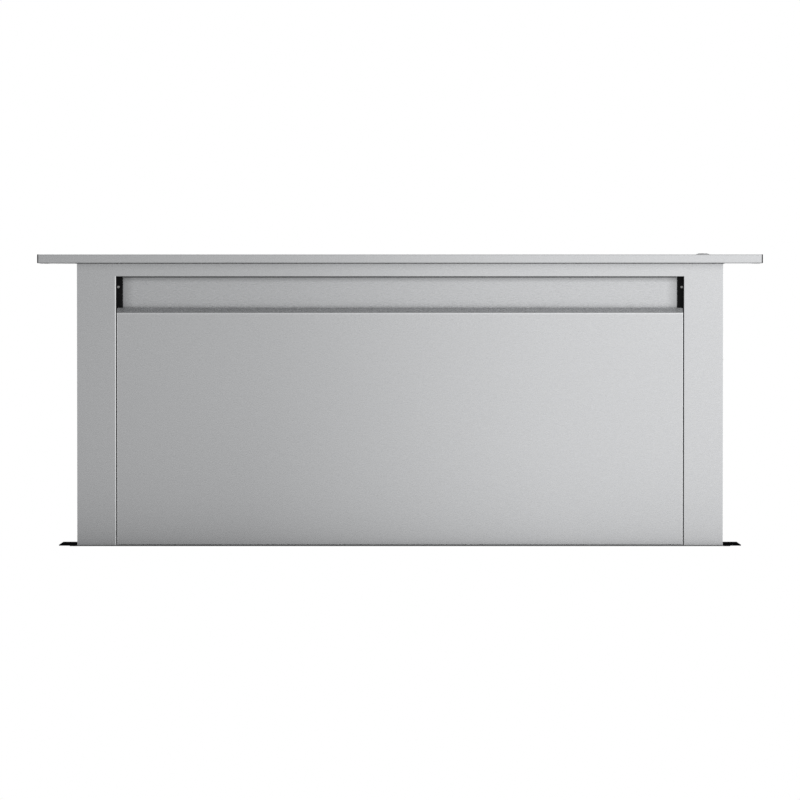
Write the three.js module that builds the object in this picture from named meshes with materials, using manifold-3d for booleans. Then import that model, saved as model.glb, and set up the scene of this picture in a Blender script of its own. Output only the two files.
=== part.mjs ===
// Downdraft vent, raised: a brushed steel chimney that rises out of a worktop, the housing it
// sinks into, its twin-screw lift and its blower.
// Millimetres. +X is to the right as seen by the cook, -Y points at the cook, +Z is up.
// The origin is the middle of the underside of the base plate, on the floor of the cabinet.
import * as THREE from 'three';
import { mergeVertices } from 'three/addons/utils/BufferGeometryUtils.js';
import Module from 'manifold-3d';

const wasm = await Module();
wasm.setup();

// ---- Driving dimensions -------------------------------------------------------------------

// Sheet metal and clearances
const SHEET = 1.2; // thickness of the steel sheet
const CLEARANCE = 0.3; // gap between two pieces that are screwed or set together
const FINE_GAP = 0.1; // gap under a small fitting that sits on a sheet
const ROUND_SIDES = 40; // facets round a shaft, a pulley or a motor
const SMALL_SIDES = 16; // facets round a screw

// Cap, the only part left in sight when the chimney is down
const CAP_WIDTH = 914.4; // 36 inch
const CAP_HEIGHT = 10.8;
const CAP_EDGE_RADIUS = 1.2;
const CAP_END_OVERHANG = 49.2; // cap beyond each end of the chimney
const CAP_SIDE_OVERHANG = 12; // cap beyond the front and the back of the chimney
const CAP_SEAT = 4; // how far the cap's underside reaches in over the chimney's walls
const CAP_NOTCH_WIDTH = 10; // open hem notch under each end of the cap
const CAP_NOTCH_INSET = 2.6;

// Chimney
const RAISED_HEIGHT = 368.3; // worktop to the top of the cap, 14 1/2 inch
const CHIMNEY_DEPTH = 44;
const CHIMNEY_ENGAGEMENT = 95; // length that stays in the housing when raised
const STILE_WIDTH = 49.2;
const TOP_RAIL_HEIGHT = 16.6;
const WINDOW_RETURN = 15.4; // depth of the folded edges round the window
const REAR_RETURN = 12; // folded edges that the back panel is screwed to
const TOP_PLATE_DROP = 2.3; // cap seat to the top plate
const TOP_PLATE_FOLD = 8;

// Intake slot, front panel and what is seen through the slot
const SLOT_HEIGHT = 39.5;
const LIP_RISE = 6.7; // height and depth of the panel's 45 degree lip
const PANEL_GAP = 1.25; // shadow gap between the panel and the stiles
const PANEL_RETURN = 8; // folded edges of the panel
const BAFFLE_GAP = 0.6; // folded edges of the window to the baffle behind the slot
const BAFFLE_OVER_FILTER = 1;
const GUIDE_WIDTH = 7.3;
const GUIDE_FRONT_GAP = 0.6; // folded edges of the panel to the guides
const GUIDE_BACK_WALL = 2.2; // guide behind the filter's groove
const GUIDE_GROOVE = 4;
const GUIDE_FLOOR = 3;
const GUIDE_SCREW_DROP = 13.5; // slot top to the guide's screw
const GUIDE_SCREW_INSET = 2.5; // window edge to the guide's screw
const GUIDE_SCREW_LENGTH = 7;

// Grease filters
const FILTER_THICKNESS = 9;
const FILTER_BORDER = 14;
const FILTER_CORE_THICKNESS = 4;
const FILTER_SLOTS = 9;
const FILTER_SLOT_HEIGHT = 14;
const FILTER_HALF_GAP = 0.8;
const POST_WIDTH = 16; // upright behind the joint of the two filters
const POST_DEPTH = 6;

// Magnets that hold the top of the front panel
const MAGNET_HEIGHT = 22;
const MAGNET_DROP = 12; // panel's upper bend to the magnet
const MAGNET_REACH = 2; // magnet inward of its guide

// Small screws with a domed head
const SCREW_HEAD_RADIUS = 1.8;
const SCREW_HEAD_HEIGHT = 1.2;
const SCREW_SHANK_RADIUS = 1.1;
const SCREW_DOME = [[0.6, 1], [0.92, 0.6], [1, 0.15]]; // shares of a head's radius and height
const STRIKER_HEIGHT = 235.6; // worktop to the striker screw, chimney raised
const STRIKER_BACKSET = 8;
const STRIKER_HEAD_RADIUS = 2.2;
const STRIKER_HEAD_HEIGHT = 2.5;
const STRIKER_LENGTH = 6;

// Control button on the cap
const BUTTON_OFFSET = 24.1; // chimney end to the button's middle
const BUTTON_RADIUS = 6.2;
const BUTTON_PROUD = 1.8; // cap to the top of the button
const BUTTON_THICKNESS = 4;
const BUTTON_STEM_RADIUS = 2.6;
const BUTTON_STEM_LENGTH = 4;
const BEZEL_RADIUS = 8.35;
const BEZEL_WALL = 1;
const BEZEL_HEIGHT = 1;
const BEZEL_CHAMFER = 0.3;
const BEZEL_BARREL = 7.3; // bezel's length below the cap's skin
const SWITCH_SIZE = 16;

// Housing below the worktop
const HOUSING_HEIGHT = 711.2; // floor of the cabinet to the worktop's surface, 28 inch
const SIDE_RUNNING_GAP = 7; // chimney to the housing's end walls
const FACE_RUNNING_GAP = 3; // chimney to the housing's front and back walls
const BASE_THICKNESS = 2;
const FLOOR_HEIGHT = 47; // drive bay under the plenum floor

// Trim and flanges on the worktop
const TRIM_THICKNESS = 1.4;
const TRIM_OVERHANG = 7.8; // trim beyond the housing
const TRIM_LEG = 25;
const TRIM_RUNNING_GAP = 1.2;
const FLANGE_REACH = 22.2; // chimney end to the flange's outer end
const FLANGE_LIP = 1.4;
const FLANGE_RISE = 1; // worktop to the underside of the flange's lip
const FLANGE_SHOULDER = 8.5;
const FLANGE_DEPTH = 20;
const FLANGE_RUNNING_GAP = 0.8;
const STRIKER_WAY = 7; // notch that lets the striker screw pass the flange
const SEAL_HEIGHT = 9.7;
const CAP_PARK_GAP = 1.1; // cap to the flanges, chimney down

// Lift drive
const SCREW_INSET = 25; // chimney end to the lead screw
const LEAD_SCREW_RADIUS = 8;
const JOURNAL_RADIUS = 5;
const SCREW_TOP_DROP = 70; // worktop to the top of the lead screws
const RUNNING_GAP = 0.5;
const NUT_WIDTH = 28;
const NUT_HEIGHT = 12;
const BOTTOM_FRAME_HEIGHT = 12;
const BOTTOM_FRAME_RIM = 4.5;
const BEARING_RADIUS = 14;
const BEARING_HEIGHT = 11.5;
const PULLEY_RADIUS = 14;
const PULLEY_HEIGHT = 12;
const PULLEY_BASE = 26;
const BELT_THICKNESS = 1.7;
const BELT_WIDTH = 10;
const LIFT_MOTOR_OFFSET = 153; // left lead screw to the motor's shaft
const LIFT_MOTOR_RADIUS = 20;
const LIFT_MOTOR_HEIGHT = 102;
const LIFT_SHAFT_RADIUS = 4;
const GLIDE_HEIGHT = 30;
const GLIDE_DEPTH = 16;
const GLIDE_FRONT_INSET = 2;
const LIMIT_SWITCH_HEIGHT = 20;
const LIMIT_SWITCH_THICKNESS = 3.1;
const LIMIT_SWITCH_DEPTH = 14;

// Legs
const LEG_HEIGHT = 100;
const LEG_THICKNESS = 2;
const FOOT_WIDTH = 40;
const FOOT_FRONT = 205;
const FOOT_BACK = 60;

// Blower
const BLOWER_X = 60;
const BLOWER_Z = 135;
const BLOWER_PLATE = 2;
const INLET_RADIUS = 72;
const TONGUE_GAP = 7; // wheel to the volute's wall where the spiral starts
const VOLUTE_START_DEGREES = 190;
const VOLUTE_END_DEGREES = 450;
const VOLUTE_STEPS = 26;
const VOLUTE_WALL = 1.5;
const OUTLET_REACH = 170; // wheel's middle to the outlet
const PLATE_MARGIN = 6;
const WHEEL_RADIUS = 85;
const WHEEL_WIDTH = 110;
const WHEEL_INLET_GAP = 18;
const WHEEL_DISC = 2;
const BLADES = 24;
const BLADE_LENGTH = 15;
const BLADE_THICKNESS = 1.4;
const BLADE_TILT_DEGREES = 35;
const HUB_RADIUS = 20;
const HUB_LENGTH = 30;
const MOTOR_RADIUS = 45;
const MOTOR_FLANGE_RADIUS = 60;
const MOTOR_FLANGE_THICKNESS = 3;
const MOTOR_LENGTH = 57;
const MOTOR_SHAFT_RADIUS = 4;
const MOTOR_SHAFT_ROOM = 8; // shaft to the edge of its hole in the blower's plate
const MOTOR_SHAFT_INSET = 1.4; // end of the hub to the end of the shaft

// Duct collar and its damper, for 6 inch round duct
const DUCT_RADIUS = 75;
const COLLAR_WALL = 1.2;
const COLLAR_LENGTH = 60;
const COLLAR_SIDE_MARGIN = 3.8; // collar to the side plates of the blower
const COLLAR_END_MARGIN = 1.8; // collar to the floor and the ceiling of the outlet
const DAMPER_SETBACK = 29; // collar plate to the damper's shaft
const DAMPER_GAP = 2.5;
const DAMPER_THICKNESS = 1.2;
const DAMPER_SHAFT_RADIUS = 2;

// Junction box
const BOX_INSET = 135; // end wall of the housing to the middle of the box
const BOX_Z = 120;
const BOX_WIDTH = 100;
const BOX_HEIGHT = 80;
const BOX_DEPTH = 40;
const COVER_THICKNESS = 1.5;
const GLAND_RADIUS = 9;
const GLAND_NUT_RADIUS = 12;
const GLAND_BORE = 4.5;
const GLAND_NUT_HEIGHT = 10;

// ---- Sizes that follow ---------------------------------------------------------------------

const capHalf = CAP_WIDTH / 2;
const chimneyHalf = capHalf - CAP_END_OVERHANG;
const chimneyFace = CHIMNEY_DEPTH / 2;
const capFace = chimneyFace + CAP_SIDE_OVERHANG;
const innerFace = chimneyFace - SHEET; // inside of the chimney's front and back sheets
const fitHalf = chimneyHalf - SHEET - CLEARANCE; // half width of what fits in the chimney
const fitFace = innerFace - CLEARANCE; // front of what fits in the chimney, from the middle
const fitBack = fitFace - SHEET - CLEARANCE; // back of it, inside the folded edges
const chimneyTop = RAISED_HEIGHT - CAP_HEIGHT;
const windowHalf = chimneyHalf - STILE_WIDTH;
const slotTop = chimneyTop - TOP_RAIL_HEIGHT;
const slotBottom = slotTop - SLOT_HEIGHT;
const panelBottom = TRIM_THICKNESS + FINE_GAP;
const panelHalf = windowHalf - PANEL_GAP;
const ledgeTop = panelBottom - CLEARANCE;
const topPlateTop = chimneyTop - TOP_PLATE_DROP;
const baffleFront = -chimneyFace + WINDOW_RETURN + BAFFLE_GAP;
const guideInner = windowHalf - CLEARANCE - GUIDE_WIDTH;
const guideFront = -chimneyFace + PANEL_RETURN + GUIDE_FRONT_GAP;
const guideTop = slotTop - CLEARANCE;
const baffleTop = topPlateTop - SHEET - CLEARANCE;
const guideBottom = ledgeTop + CLEARANCE;
const filterMiddle = baffleFront + SHEET / 2;
const filterBack = filterMiddle + FILTER_THICKNESS / 2;
const guideBack = filterBack + CLEARANCE + GUIDE_BACK_WALL;
const filterBottom = guideBottom + GUIDE_FLOOR + CLEARANCE;
const filterTop = slotBottom - LIP_RISE;
const grooveEnd = guideInner + GUIDE_GROOVE - CLEARANCE;
const guideScrewX = windowHalf - GUIDE_SCREW_INSET;
const guideScrewZ = slotTop - GUIDE_SCREW_DROP;
const buttonX = chimneyHalf - BUTTON_OFFSET;
const bezelBore = BUTTON_RADIUS + CLEARANCE + FINE_GAP;
const bezelBarrelRadius = bezelBore + BEZEL_WALL;
const bezelFoot = RAISED_HEIGHT - BEZEL_BARREL;
const leadScrewX = chimneyHalf - SCREW_INSET;
const nutTop = -CHIMNEY_ENGAGEMENT - CLEARANCE;
const frameTop = -CHIMNEY_ENGAGEMENT + BOTTOM_FRAME_HEIGHT;
const housingHalf = chimneyHalf + SIDE_RUNNING_GAP; // inside of the housing's end walls
const housingFace = chimneyFace + FACE_RUNNING_GAP; // inside of the front and back walls
const housingOuter = housingFace + SHEET;
const wallBottom = BASE_THICKNESS + CLEARANCE;
const wallTop = HOUSING_HEIGHT - CLEARANCE;
const floorTop = FLOOR_HEIGHT + SHEET;
const bearingTop = floorTop + CLEARANCE + BEARING_HEIGHT;
const beltInner = PULLEY_RADIUS + CLEARANCE;
const beltBase = PULLEY_BASE + (PULLEY_HEIGHT - BELT_WIDTH) / 2;
const liftTravel = chimneyTop - FLANGE_RISE - FLANGE_LIP - CAP_PARK_GAP;
const glideFront = -fitFace + GLIDE_FRONT_INSET;
const liftMotorX = -leadScrewX + LIFT_MOTOR_OFFSET;
const collarRadius = DUCT_RADIUS + COLLAR_WALL;
const voluteStart = THREE.MathUtils.degToRad(VOLUTE_START_DEGREES);
const voluteStartRadius = WHEEL_RADIUS + TONGUE_GAP;
const outletFloor = voluteStartRadius * Math.sin(voluteStart);
const outletMiddleZ = outletFloor + COLLAR_END_MARGIN + collarRadius;
const outletCeiling = outletMiddleZ + collarRadius + COLLAR_END_MARGIN;
const voluteDepth = 2 * (collarRadius + COLLAR_SIDE_MARGIN);
const voluteBack = -CLEARANCE - BLOWER_PLATE - CLEARANCE;
const outletMiddleY = voluteBack - voluteDepth / 2;
const frontPlateBack = voluteBack - voluteDepth - CLEARANCE;
const motorSeat = frontPlateBack - BLOWER_PLATE - CLEARANCE;
const wheelFront = -WHEEL_INLET_GAP;
const wheelBack = wheelFront - WHEEL_WIDTH;
const shaftEnd = wheelBack + HUB_LENGTH - MOTOR_SHAFT_INSET;
const collarFace = -OUTLET_REACH - CLEARANCE - VOLUTE_WALL;
const boxX = -housingHalf + BOX_INSET;

// ---- Finishes ------------------------------------------------------------------------------

const FINISHES = {
  brushedSteel: { color: 0xb9bbbc, roughness: 0.34, metalness: 1 },
  galvanised: { color: 0x9aa0a3, roughness: 0.45, metalness: 0.9 },
  zincPlated: { color: 0xc4c6c4, roughness: 0.3, metalness: 1 },
  blackCoat: { color: 0x111213, roughness: 0.5, metalness: 0.2 },
  blackPlastic: { color: 0x1a1a1b, roughness: 0.6, metalness: 0 },
  nylon: { color: 0xd9d6cc, roughness: 0.55, metalness: 0 },
  rubber: { color: 0x151515, roughness: 0.85, metalness: 0 },
  filterMesh: { color: 0xa9acae, roughness: 0.4, metalness: 1 },
  groundSteel: { color: 0xcdcfd0, roughness: 0.22, metalness: 1 },
  bronze: { color: 0xa8824c, roughness: 0.4, metalness: 1 },
  motorCoat: { color: 0x2a2d30, roughness: 0.5, metalness: 0.3 },
};

// ---- Tools for solids ----------------------------------------------------------------------

// A closed block between its lowest and its highest corner.
function block(low, high) {
  const size = high.map((value, i) => value - low[i]);
  const middle = high.map((value, i) => (value + low[i]) / 2);
  return new THREE.BoxGeometry(...size).translate(...middle);
}

// A round bar along one axis, from one place on it to another, through the point at.
function bar(axis, radius, from, to, at = [0, 0, 0], sides = ROUND_SIDES) {
  const geometry = new THREE.CylinderGeometry(radius, radius, Math.abs(to - from), sides);
  if (axis === 'x') geometry.rotateZ(Math.PI / 2);
  if (axis === 'z') geometry.rotateX(Math.PI / 2);
  const middle = [...at];
  middle['xyz'.indexOf(axis)] = (from + to) / 2;
  return geometry.translate(...middle);
}

// A flat outline given as a list of pairs, extruded by a length.
function extrusion(outline, length) {
  const shape = new THREE.Shape(outline.map(([u, v]) => new THREE.Vector2(u, v)));
  return new THREE.ExtrudeGeometry(shape, { depth: length, bevelEnabled: false });
}

// An outline in y and z, extruded along X between two places.
function extrudedX(outline, from, to) {
  const turn = new THREE.Matrix4().makeBasis(
    new THREE.Vector3(0, 1, 0),
    new THREE.Vector3(0, 0, 1),
    new THREE.Vector3(1, 0, 0),
  );
  return extrusion(outline, to - from).applyMatrix4(turn).translate(from, 0, 0);
}

// An outline in x and z, extruded along Y between two places.
function extrudedY(outline, from, to) {
  const turn = new THREE.Matrix4().makeBasis(
    new THREE.Vector3(1, 0, 0),
    new THREE.Vector3(0, 0, 1),
    new THREE.Vector3(0, -1, 0),
  );
  return extrusion(outline, to - from).applyMatrix4(turn).translate(0, to, 0);
}

// An outline in x and y, extruded along Z between two heights.
function extrudedZ(outline, from, to) {
  return extrusion(outline, to - from).translate(0, 0, from);
}

// A profile of [radius, height] pairs turned round the Z axis. The profile closes on itself.
function turned(profile, sides = ROUND_SIDES) {
  const points = profile.map(([radius, height]) => new THREE.Vector2(radius, height));
  return new THREE.LatheGeometry(points, sides).rotateX(Math.PI / 2);
}

// The section of a bent sheet: a line, and the same line moved to its left by the thickness.
function sheetSection(line, thickness) {
  const normals = line.slice(1).map(([u, v], i) => {
    const along = new THREE.Vector2(u - line[i][0], v - line[i][1]).normalize();
    return new THREE.Vector2(-along.y, along.x);
  });
  const inner = line.map(([u, v], i) => {
    const before = normals[Math.max(i - 1, 0)];
    const after = normals[Math.min(i, normals.length - 1)];
    const reach = thickness / (1 + before.dot(after));
    return [u + reach * (before.x + after.x), v + reach * (before.y + after.y)];
  });
  return [...line, ...inner.reverse()];
}

// A closed solid of a geometry, for joining and cutting.
function solid(geometry) {
  const bare = geometry.clone();
  bare.deleteAttribute('normal');
  bare.deleteAttribute('uv');
  const merged = mergeVertices(bare, 1e-4);
  return new wasm.Manifold(new wasm.Mesh({
    numProp: 3,
    vertProperties: new Float32Array(merged.attributes.position.array),
    triVerts: new Uint32Array(merged.index.array),
  }));
}

// The geometry of a joined or cut solid.
function shell(manifold) {
  const mesh = manifold.getMesh();
  const geometry = new THREE.BufferGeometry();
  geometry.setAttribute('position', new THREE.BufferAttribute(mesh.vertProperties, 3));
  geometry.setIndex(new THREE.BufferAttribute(mesh.triVerts, 1));
  const flat = geometry.toNonIndexed();
  flat.computeVertexNormals();
  return flat;
}

// The first geometry with others joined to it.
function joined(first, ...others) {
  return shell(others.reduce((whole, next) => whole.add(solid(next)), solid(first)));
}

// A geometry with others cut out of it.
function cut(first, ...tools) {
  return shell(tools.reduce((whole, next) => whole.subtract(solid(next)), solid(first)));
}

// A named piece with a material of its own, placed in its group.
function piece(name, geometry, finish, position = [0, 0, 0]) {
  const mesh = new THREE.Mesh(geometry, new THREE.MeshStandardMaterial(FINISHES[finish]));
  mesh.name = name;
  mesh.position.set(...position);
  return mesh;
}

// A group of pieces at a place.
function assembly(pieces, position = [0, 0, 0]) {
  const group = new THREE.Group();
  group.add(...pieces);
  group.position.set(...position);
  return group;
}

// One piece for each end of the vent: make(name prefix, side), where side is -1 or +1.
function bothEnds(make) {
  return [make('left', -1), make('right', 1)];
}

// A block given by its distance from the middle, on one side of it.
function sideBlock(side, [near, y0, z0], [far, y1, z1]) {
  const ends = [side * near, side * far].sort((a, b) => a - b);
  return block([ends[0], y0, z0], [ends[1], y1, z1]);
}

// ---- Chimney, heights from the worktop ---------------------------------------------------------

// Folded tray with rounded edges, open underneath where it sits over the chimney.
function topCap() {
  const flat = CAP_EDGE_RADIUS;
  const outline = [
    [-capHalf + flat, -capFace + flat],
    [capHalf - flat, -capFace + flat],
    [capHalf - flat, capFace - flat],
    [-capHalf + flat, capFace - flat],
  ];
  const shape = new THREE.Shape(outline.map(([x, y]) => new THREE.Vector2(x, y)));
  const outer = new THREE.ExtrudeGeometry(shape, {
    depth: CAP_HEIGHT - 2 * flat,
    bevelThickness: flat,
    bevelSize: flat,
    bevelSegments: 4,
  }).translate(0, 0, chimneyTop + flat);
  const hollow = block(
    [-capHalf + SHEET, -capFace + SHEET, chimneyTop + SHEET],
    [capHalf - SHEET, capFace - SHEET, RAISED_HEIGHT - SHEET],
  );
  const opening = block(
    [-chimneyHalf + CAP_SEAT, -chimneyFace + CAP_SEAT, chimneyTop - SHEET],
    [chimneyHalf - CAP_SEAT, chimneyFace - CAP_SEAT, chimneyTop + 2 * SHEET],
  );
  const notchFar = capHalf - CAP_NOTCH_INSET;
  const notches = [-1, 1].map((side) => sideBlock(
    side,
    [notchFar - CAP_NOTCH_WIDTH, -capFace + CAP_NOTCH_INSET, chimneyTop - SHEET],
    [notchFar, capFace - CAP_NOTCH_INSET, chimneyTop + 2 * SHEET],
  ));
  const buttonHole = bar(
    'z',
    bezelBarrelRadius + CLEARANCE,
    RAISED_HEIGHT - 2 * SHEET,
    RAISED_HEIGHT + SHEET,
    [buttonX, 0, 0],
  );
  return piece('top_cap', cut(outer, hollow, opening, ...notches, buttonHole), 'brushedSteel');
}

// One sheet: stiles, rails and apron in front, end walls, and folded edges round the window.
function chimneyFrontFrame() {
  const bottom = -CHIMNEY_ENGAGEMENT;
  const top = chimneyTop - CLEARANCE;
  const returnBack = -chimneyFace + WINDOW_RETURN;
  const line = [
    [chimneyHalf - REAR_RETURN, fitFace],
    [chimneyHalf, fitFace],
    [chimneyHalf, -chimneyFace],
    [-chimneyHalf, -chimneyFace],
    [-chimneyHalf, fitFace],
    [-chimneyHalf + REAR_RETURN, fitFace],
  ].reverse();
  const sheet = extrudedZ(sheetSection(line, SHEET), bottom, top);
  const edge = block(
    [-windowHalf - SHEET, -chimneyFace + SHEET / 2, ledgeTop - SHEET],
    [windowHalf + SHEET, returnBack, slotTop + SHEET],
  );
  const window = block(
    [-windowHalf, -chimneyFace - SHEET, ledgeTop],
    [windowHalf, returnBack + SHEET, slotTop],
  );
  const strikerHole = bar(
    'x',
    SCREW_SHANK_RADIUS + CLEARANCE,
    chimneyHalf - 2 * SHEET,
    chimneyHalf + SHEET,
    [0, STRIKER_BACKSET, STRIKER_HEIGHT],
    SMALL_SIDES,
  );
  const frame = cut(joined(sheet, edge), window, strikerHole);
  return piece('chimney_front_frame', frame, 'brushedSteel');
}

function chimneyBackPanel() {
  const panel = block(
    [-chimneyHalf, innerFace, -CHIMNEY_ENGAGEMENT],
    [chimneyHalf, chimneyFace, chimneyTop - CLEARANCE],
  );
  return piece('chimney_back_panel', panel, 'brushedSteel');
}

// Stiffener under the cap, with a fold down at the front and the back.
function chimneyTopPlate() {
  const line = [
    [fitBack, topPlateTop - TOP_PLATE_FOLD],
    [fitBack, topPlateTop],
    [-fitFace, topPlateTop],
    [-fitFace, topPlateTop - TOP_PLATE_FOLD],
  ];
  const sheet = extrudedX(sheetSection(line, SHEET), -fitHalf, fitHalf);
  return piece('chimney_top_plate', sheet, 'galvanised');
}

// Ring that closes the foot of the chimney and rides on the two lift nuts.
function chimneyBottomFrame() {
  const ring = block([-fitHalf, -fitFace, -CHIMNEY_ENGAGEMENT], [fitHalf, fitBack, frameTop]);
  const airway = block(
    [-guideInner, -fitFace + BOTTOM_FRAME_RIM, -CHIMNEY_ENGAGEMENT - SHEET],
    [guideInner, fitBack - BOTTOM_FRAME_RIM, frameTop + SHEET],
  );
  const holes = [-1, 1].map((side) => bar(
    'z',
    LEAD_SCREW_RADIUS + 2 * RUNNING_GAP,
    -CHIMNEY_ENGAGEMENT - SHEET,
    frameTop + SHEET,
    [side * leadScrewX, 0, 0],
  ));
  return piece('chimney_bottom_frame', cut(ring, airway, ...holes), 'galvanised');
}

// Brushed plate seen through the slot, above the filters.
function intakeBaffle() {
  const plate = block(
    [-grooveEnd, baffleFront, filterTop + BAFFLE_OVER_FILTER],
    [grooveEnd, baffleFront + SHEET, baffleTop],
  );
  return piece('intake_baffle', plate, 'brushedSteel');
}

// Black upright with a groove for the baffle and for the edge of a filter.
function filterGuide(end, side) {
  const body = sideBlock(
    side,
    [guideInner, guideFront, guideBottom],
    [guideInner + GUIDE_WIDTH, guideBack, guideTop],
  );
  const half = FILTER_THICKNESS / 2 + CLEARANCE;
  const groove = sideBlock(
    side,
    [guideInner - GUIDE_GROOVE, filterMiddle - half, guideBottom + GUIDE_FLOOR],
    [guideInner + GUIDE_GROOVE, filterMiddle + half, chimneyTop],
  );
  const screwHole = bar(
    'y',
    SCREW_SHANK_RADIUS + CLEARANCE,
    guideFront - SHEET,
    guideFront + GUIDE_SCREW_LENGTH + SHEET,
    [side * guideScrewX, 0, guideScrewZ],
    SMALL_SIDES,
  );
  return piece(`${end}_filter_guide`, cut(body, groove, screwHole), 'blackPlastic');
}

// Domed head and plain shank of a small screw that points along +Z, head down at its seat.
function screwGeometry(headRadius, headHeight, length) {
  return turned([
    [0, -headHeight],
    ...SCREW_DOME.map(([out, up]) => [headRadius * out, -headHeight * up]),
    [headRadius, 0],
    [SCREW_SHANK_RADIUS, 0],
    [SCREW_SHANK_RADIUS, length],
    [0, length],
  ], SMALL_SIDES);
}

function guideScrew(end, side) {
  const screw = screwGeometry(SCREW_HEAD_RADIUS, SCREW_HEAD_HEIGHT, GUIDE_SCREW_LENGTH);
  screw.rotateX(-Math.PI / 2);
  const place = [side * guideScrewX, guideFront - FINE_GAP, guideScrewZ];
  return piece(`${end}_guide_screw`, screw, 'zincPlated', place);
}

// Bordered grease filter with slots through its core.
function greaseFilter(end, side) {
  const half = FILTER_THICKNESS / 2;
  const top = filterTop - CLEARANCE;
  const body = sideBlock(
    side,
    [FILTER_HALF_GAP, filterMiddle - half, filterBottom],
    [grooveEnd, filterMiddle + half, top],
  );
  const recesses = [-1, 1].map((face) => {
    const ys = [face * (half + SHEET), (face * FILTER_CORE_THICKNESS) / 2];
    return sideBlock(
      side,
      [FILTER_HALF_GAP + FILTER_BORDER, filterMiddle + Math.min(...ys), filterBottom + FILTER_BORDER],
      [grooveEnd - FILTER_BORDER, filterMiddle + Math.max(...ys), top - FILTER_BORDER],
    );
  });
  const inside = top - filterBottom - 2 * FILTER_BORDER;
  const slots = Array.from({ length: FILTER_SLOTS }, (_, i) => {
    const middle = filterBottom + FILTER_BORDER + (inside * (i + 0.5)) / FILTER_SLOTS;
    return sideBlock(
      side,
      [FILTER_HALF_GAP + 2 * FILTER_BORDER, filterMiddle - half, middle - FILTER_SLOT_HEIGHT / 2],
      [grooveEnd - 2 * FILTER_BORDER, filterMiddle + half, middle + FILTER_SLOT_HEIGHT / 2],
    );
  });
  return piece(`${end}_filter`, cut(body, ...recesses, ...slots), 'filterMesh');
}

// Upright between the foot and the top of the chimney that carries the inner filter edges.
function filterCentrePost() {
  const front = filterBack + CLEARANCE;
  const post = block(
    [-POST_WIDTH / 2, front, frameTop + CLEARANCE],
    [POST_WIDTH / 2, front + POST_DEPTH, baffleTop],
  );
  return piece('filter_centre_post', post, 'galvanised');
}

// Magnet on the front of a guide, just behind the panel.
function panelMagnet(end, side) {
  const top = slotBottom - LIP_RISE - MAGNET_DROP;
  const magnet = sideBlock(
    side,
    [guideInner - MAGNET_REACH, -innerFace + CLEARANCE, top - MAGNET_HEIGHT],
    [panelHalf - SHEET - CLEARANCE, guideFront - CLEARANCE, top],
  );
  return piece(`${end}_panel_magnet`, magnet, 'blackPlastic');
}

// Bronze nut under the foot of the chimney.
function liftNut(end, side) {
  const half = NUT_WIDTH / 2;
  const body = block([-half, -half, -NUT_HEIGHT], [half, half, 0]);
  const bore = bar('z', LEAD_SCREW_RADIUS + RUNNING_GAP, -NUT_HEIGHT - SHEET, SHEET);
  return piece(`${end}_lift_nut`, cut(body, bore), 'bronze', [side * leadScrewX, 0, nutTop]);
}

// Nylon pad that runs on the housing's end wall.
function glide(end, side) {
  const thickness = SIDE_RUNNING_GAP - CLEARANCE - RUNNING_GAP;
  const pad = new THREE.BoxGeometry(thickness, GLIDE_DEPTH, GLIDE_HEIGHT);
  return piece(`${end}_glide`, pad, 'nylon', [
    side * (chimneyHalf + CLEARANCE + thickness / 2),
    glideFront + GLIDE_DEPTH / 2,
    -CHIMNEY_ENGAGEMENT + SHEET + GLIDE_HEIGHT / 2,
  ]);
}

// Screw in the right end wall that trips the lower limit switch.
function strikerScrew() {
  const screw = screwGeometry(STRIKER_HEAD_RADIUS, STRIKER_HEAD_HEIGHT, STRIKER_LENGTH);
  screw.rotateY(-Math.PI / 2);
  const place = [chimneyHalf + FINE_GAP, STRIKER_BACKSET, STRIKER_HEIGHT];
  return piece('striker_screw', screw, 'zincPlated', place);
}

// Folded panel under the slot: bottom return, face, 45 degree lip, and two side returns.
function frontPanel() {
  const front = -chimneyFace;
  const bend = slotBottom - LIP_RISE;
  const line = [
    [front + LIP_RISE, slotBottom],
    [front, bend],
    [front, panelBottom],
    [front + PANEL_RETURN, panelBottom],
  ];
  const sheet = extrudedX(sheetSection(line, SHEET), -panelHalf, panelHalf);
  const returns = [-1, 1].map((side) => sideBlock(
    side,
    [panelHalf - SHEET, front, panelBottom],
    [panelHalf, front + PANEL_RETURN, bend - LIP_RISE],
  ));
  return piece('front_panel', joined(sheet, ...returns), 'brushedSteel');
}

// ---- Control button ------------------------------------------------------------------------------

function buttonBezel() {
  const seat = RAISED_HEIGHT + FINE_GAP;
  const ring = turned([
    [bezelBore, bezelFoot],
    [bezelBarrelRadius, bezelFoot],
    [bezelBarrelRadius, seat],
    [BEZEL_RADIUS, seat],
    [BEZEL_RADIUS, seat + BEZEL_HEIGHT - BEZEL_CHAMFER],
    [BEZEL_RADIUS - BEZEL_CHAMFER, seat + BEZEL_HEIGHT],
    [bezelBore, seat + BEZEL_HEIGHT],
    [bezelBore, bezelFoot],
  ]);
  return piece('button_bezel', ring, 'zincPlated', [buttonX, 0, 0]);
}

function controlButton() {
  const top = RAISED_HEIGHT + BUTTON_PROUD;
  const under = top - BUTTON_THICKNESS;
  const button = turned([
    [0, under - BUTTON_STEM_LENGTH],
    [BUTTON_STEM_RADIUS, under - BUTTON_STEM_LENGTH],
    [BUTTON_STEM_RADIUS, under],
    [BUTTON_RADIUS, under],
    [BUTTON_RADIUS, top - CLEARANCE],
    [BUTTON_RADIUS - CLEARANCE, top],
    [0, top],
  ]);
  return piece('control_button', button, 'brushedSteel', [buttonX, 0, 0]);
}

function buttonSwitch() {
  const low = topPlateTop + CLEARANCE;
  const high = bezelFoot - CLEARANCE;
  const body = new THREE.BoxGeometry(SWITCH_SIZE, SWITCH_SIZE, high - low);
  return piece('button_switch', body, 'blackPlastic', [buttonX, 0, (low + high) / 2]);
}

// ---- Housing -----------------------------------------------------------------------------------

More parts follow.
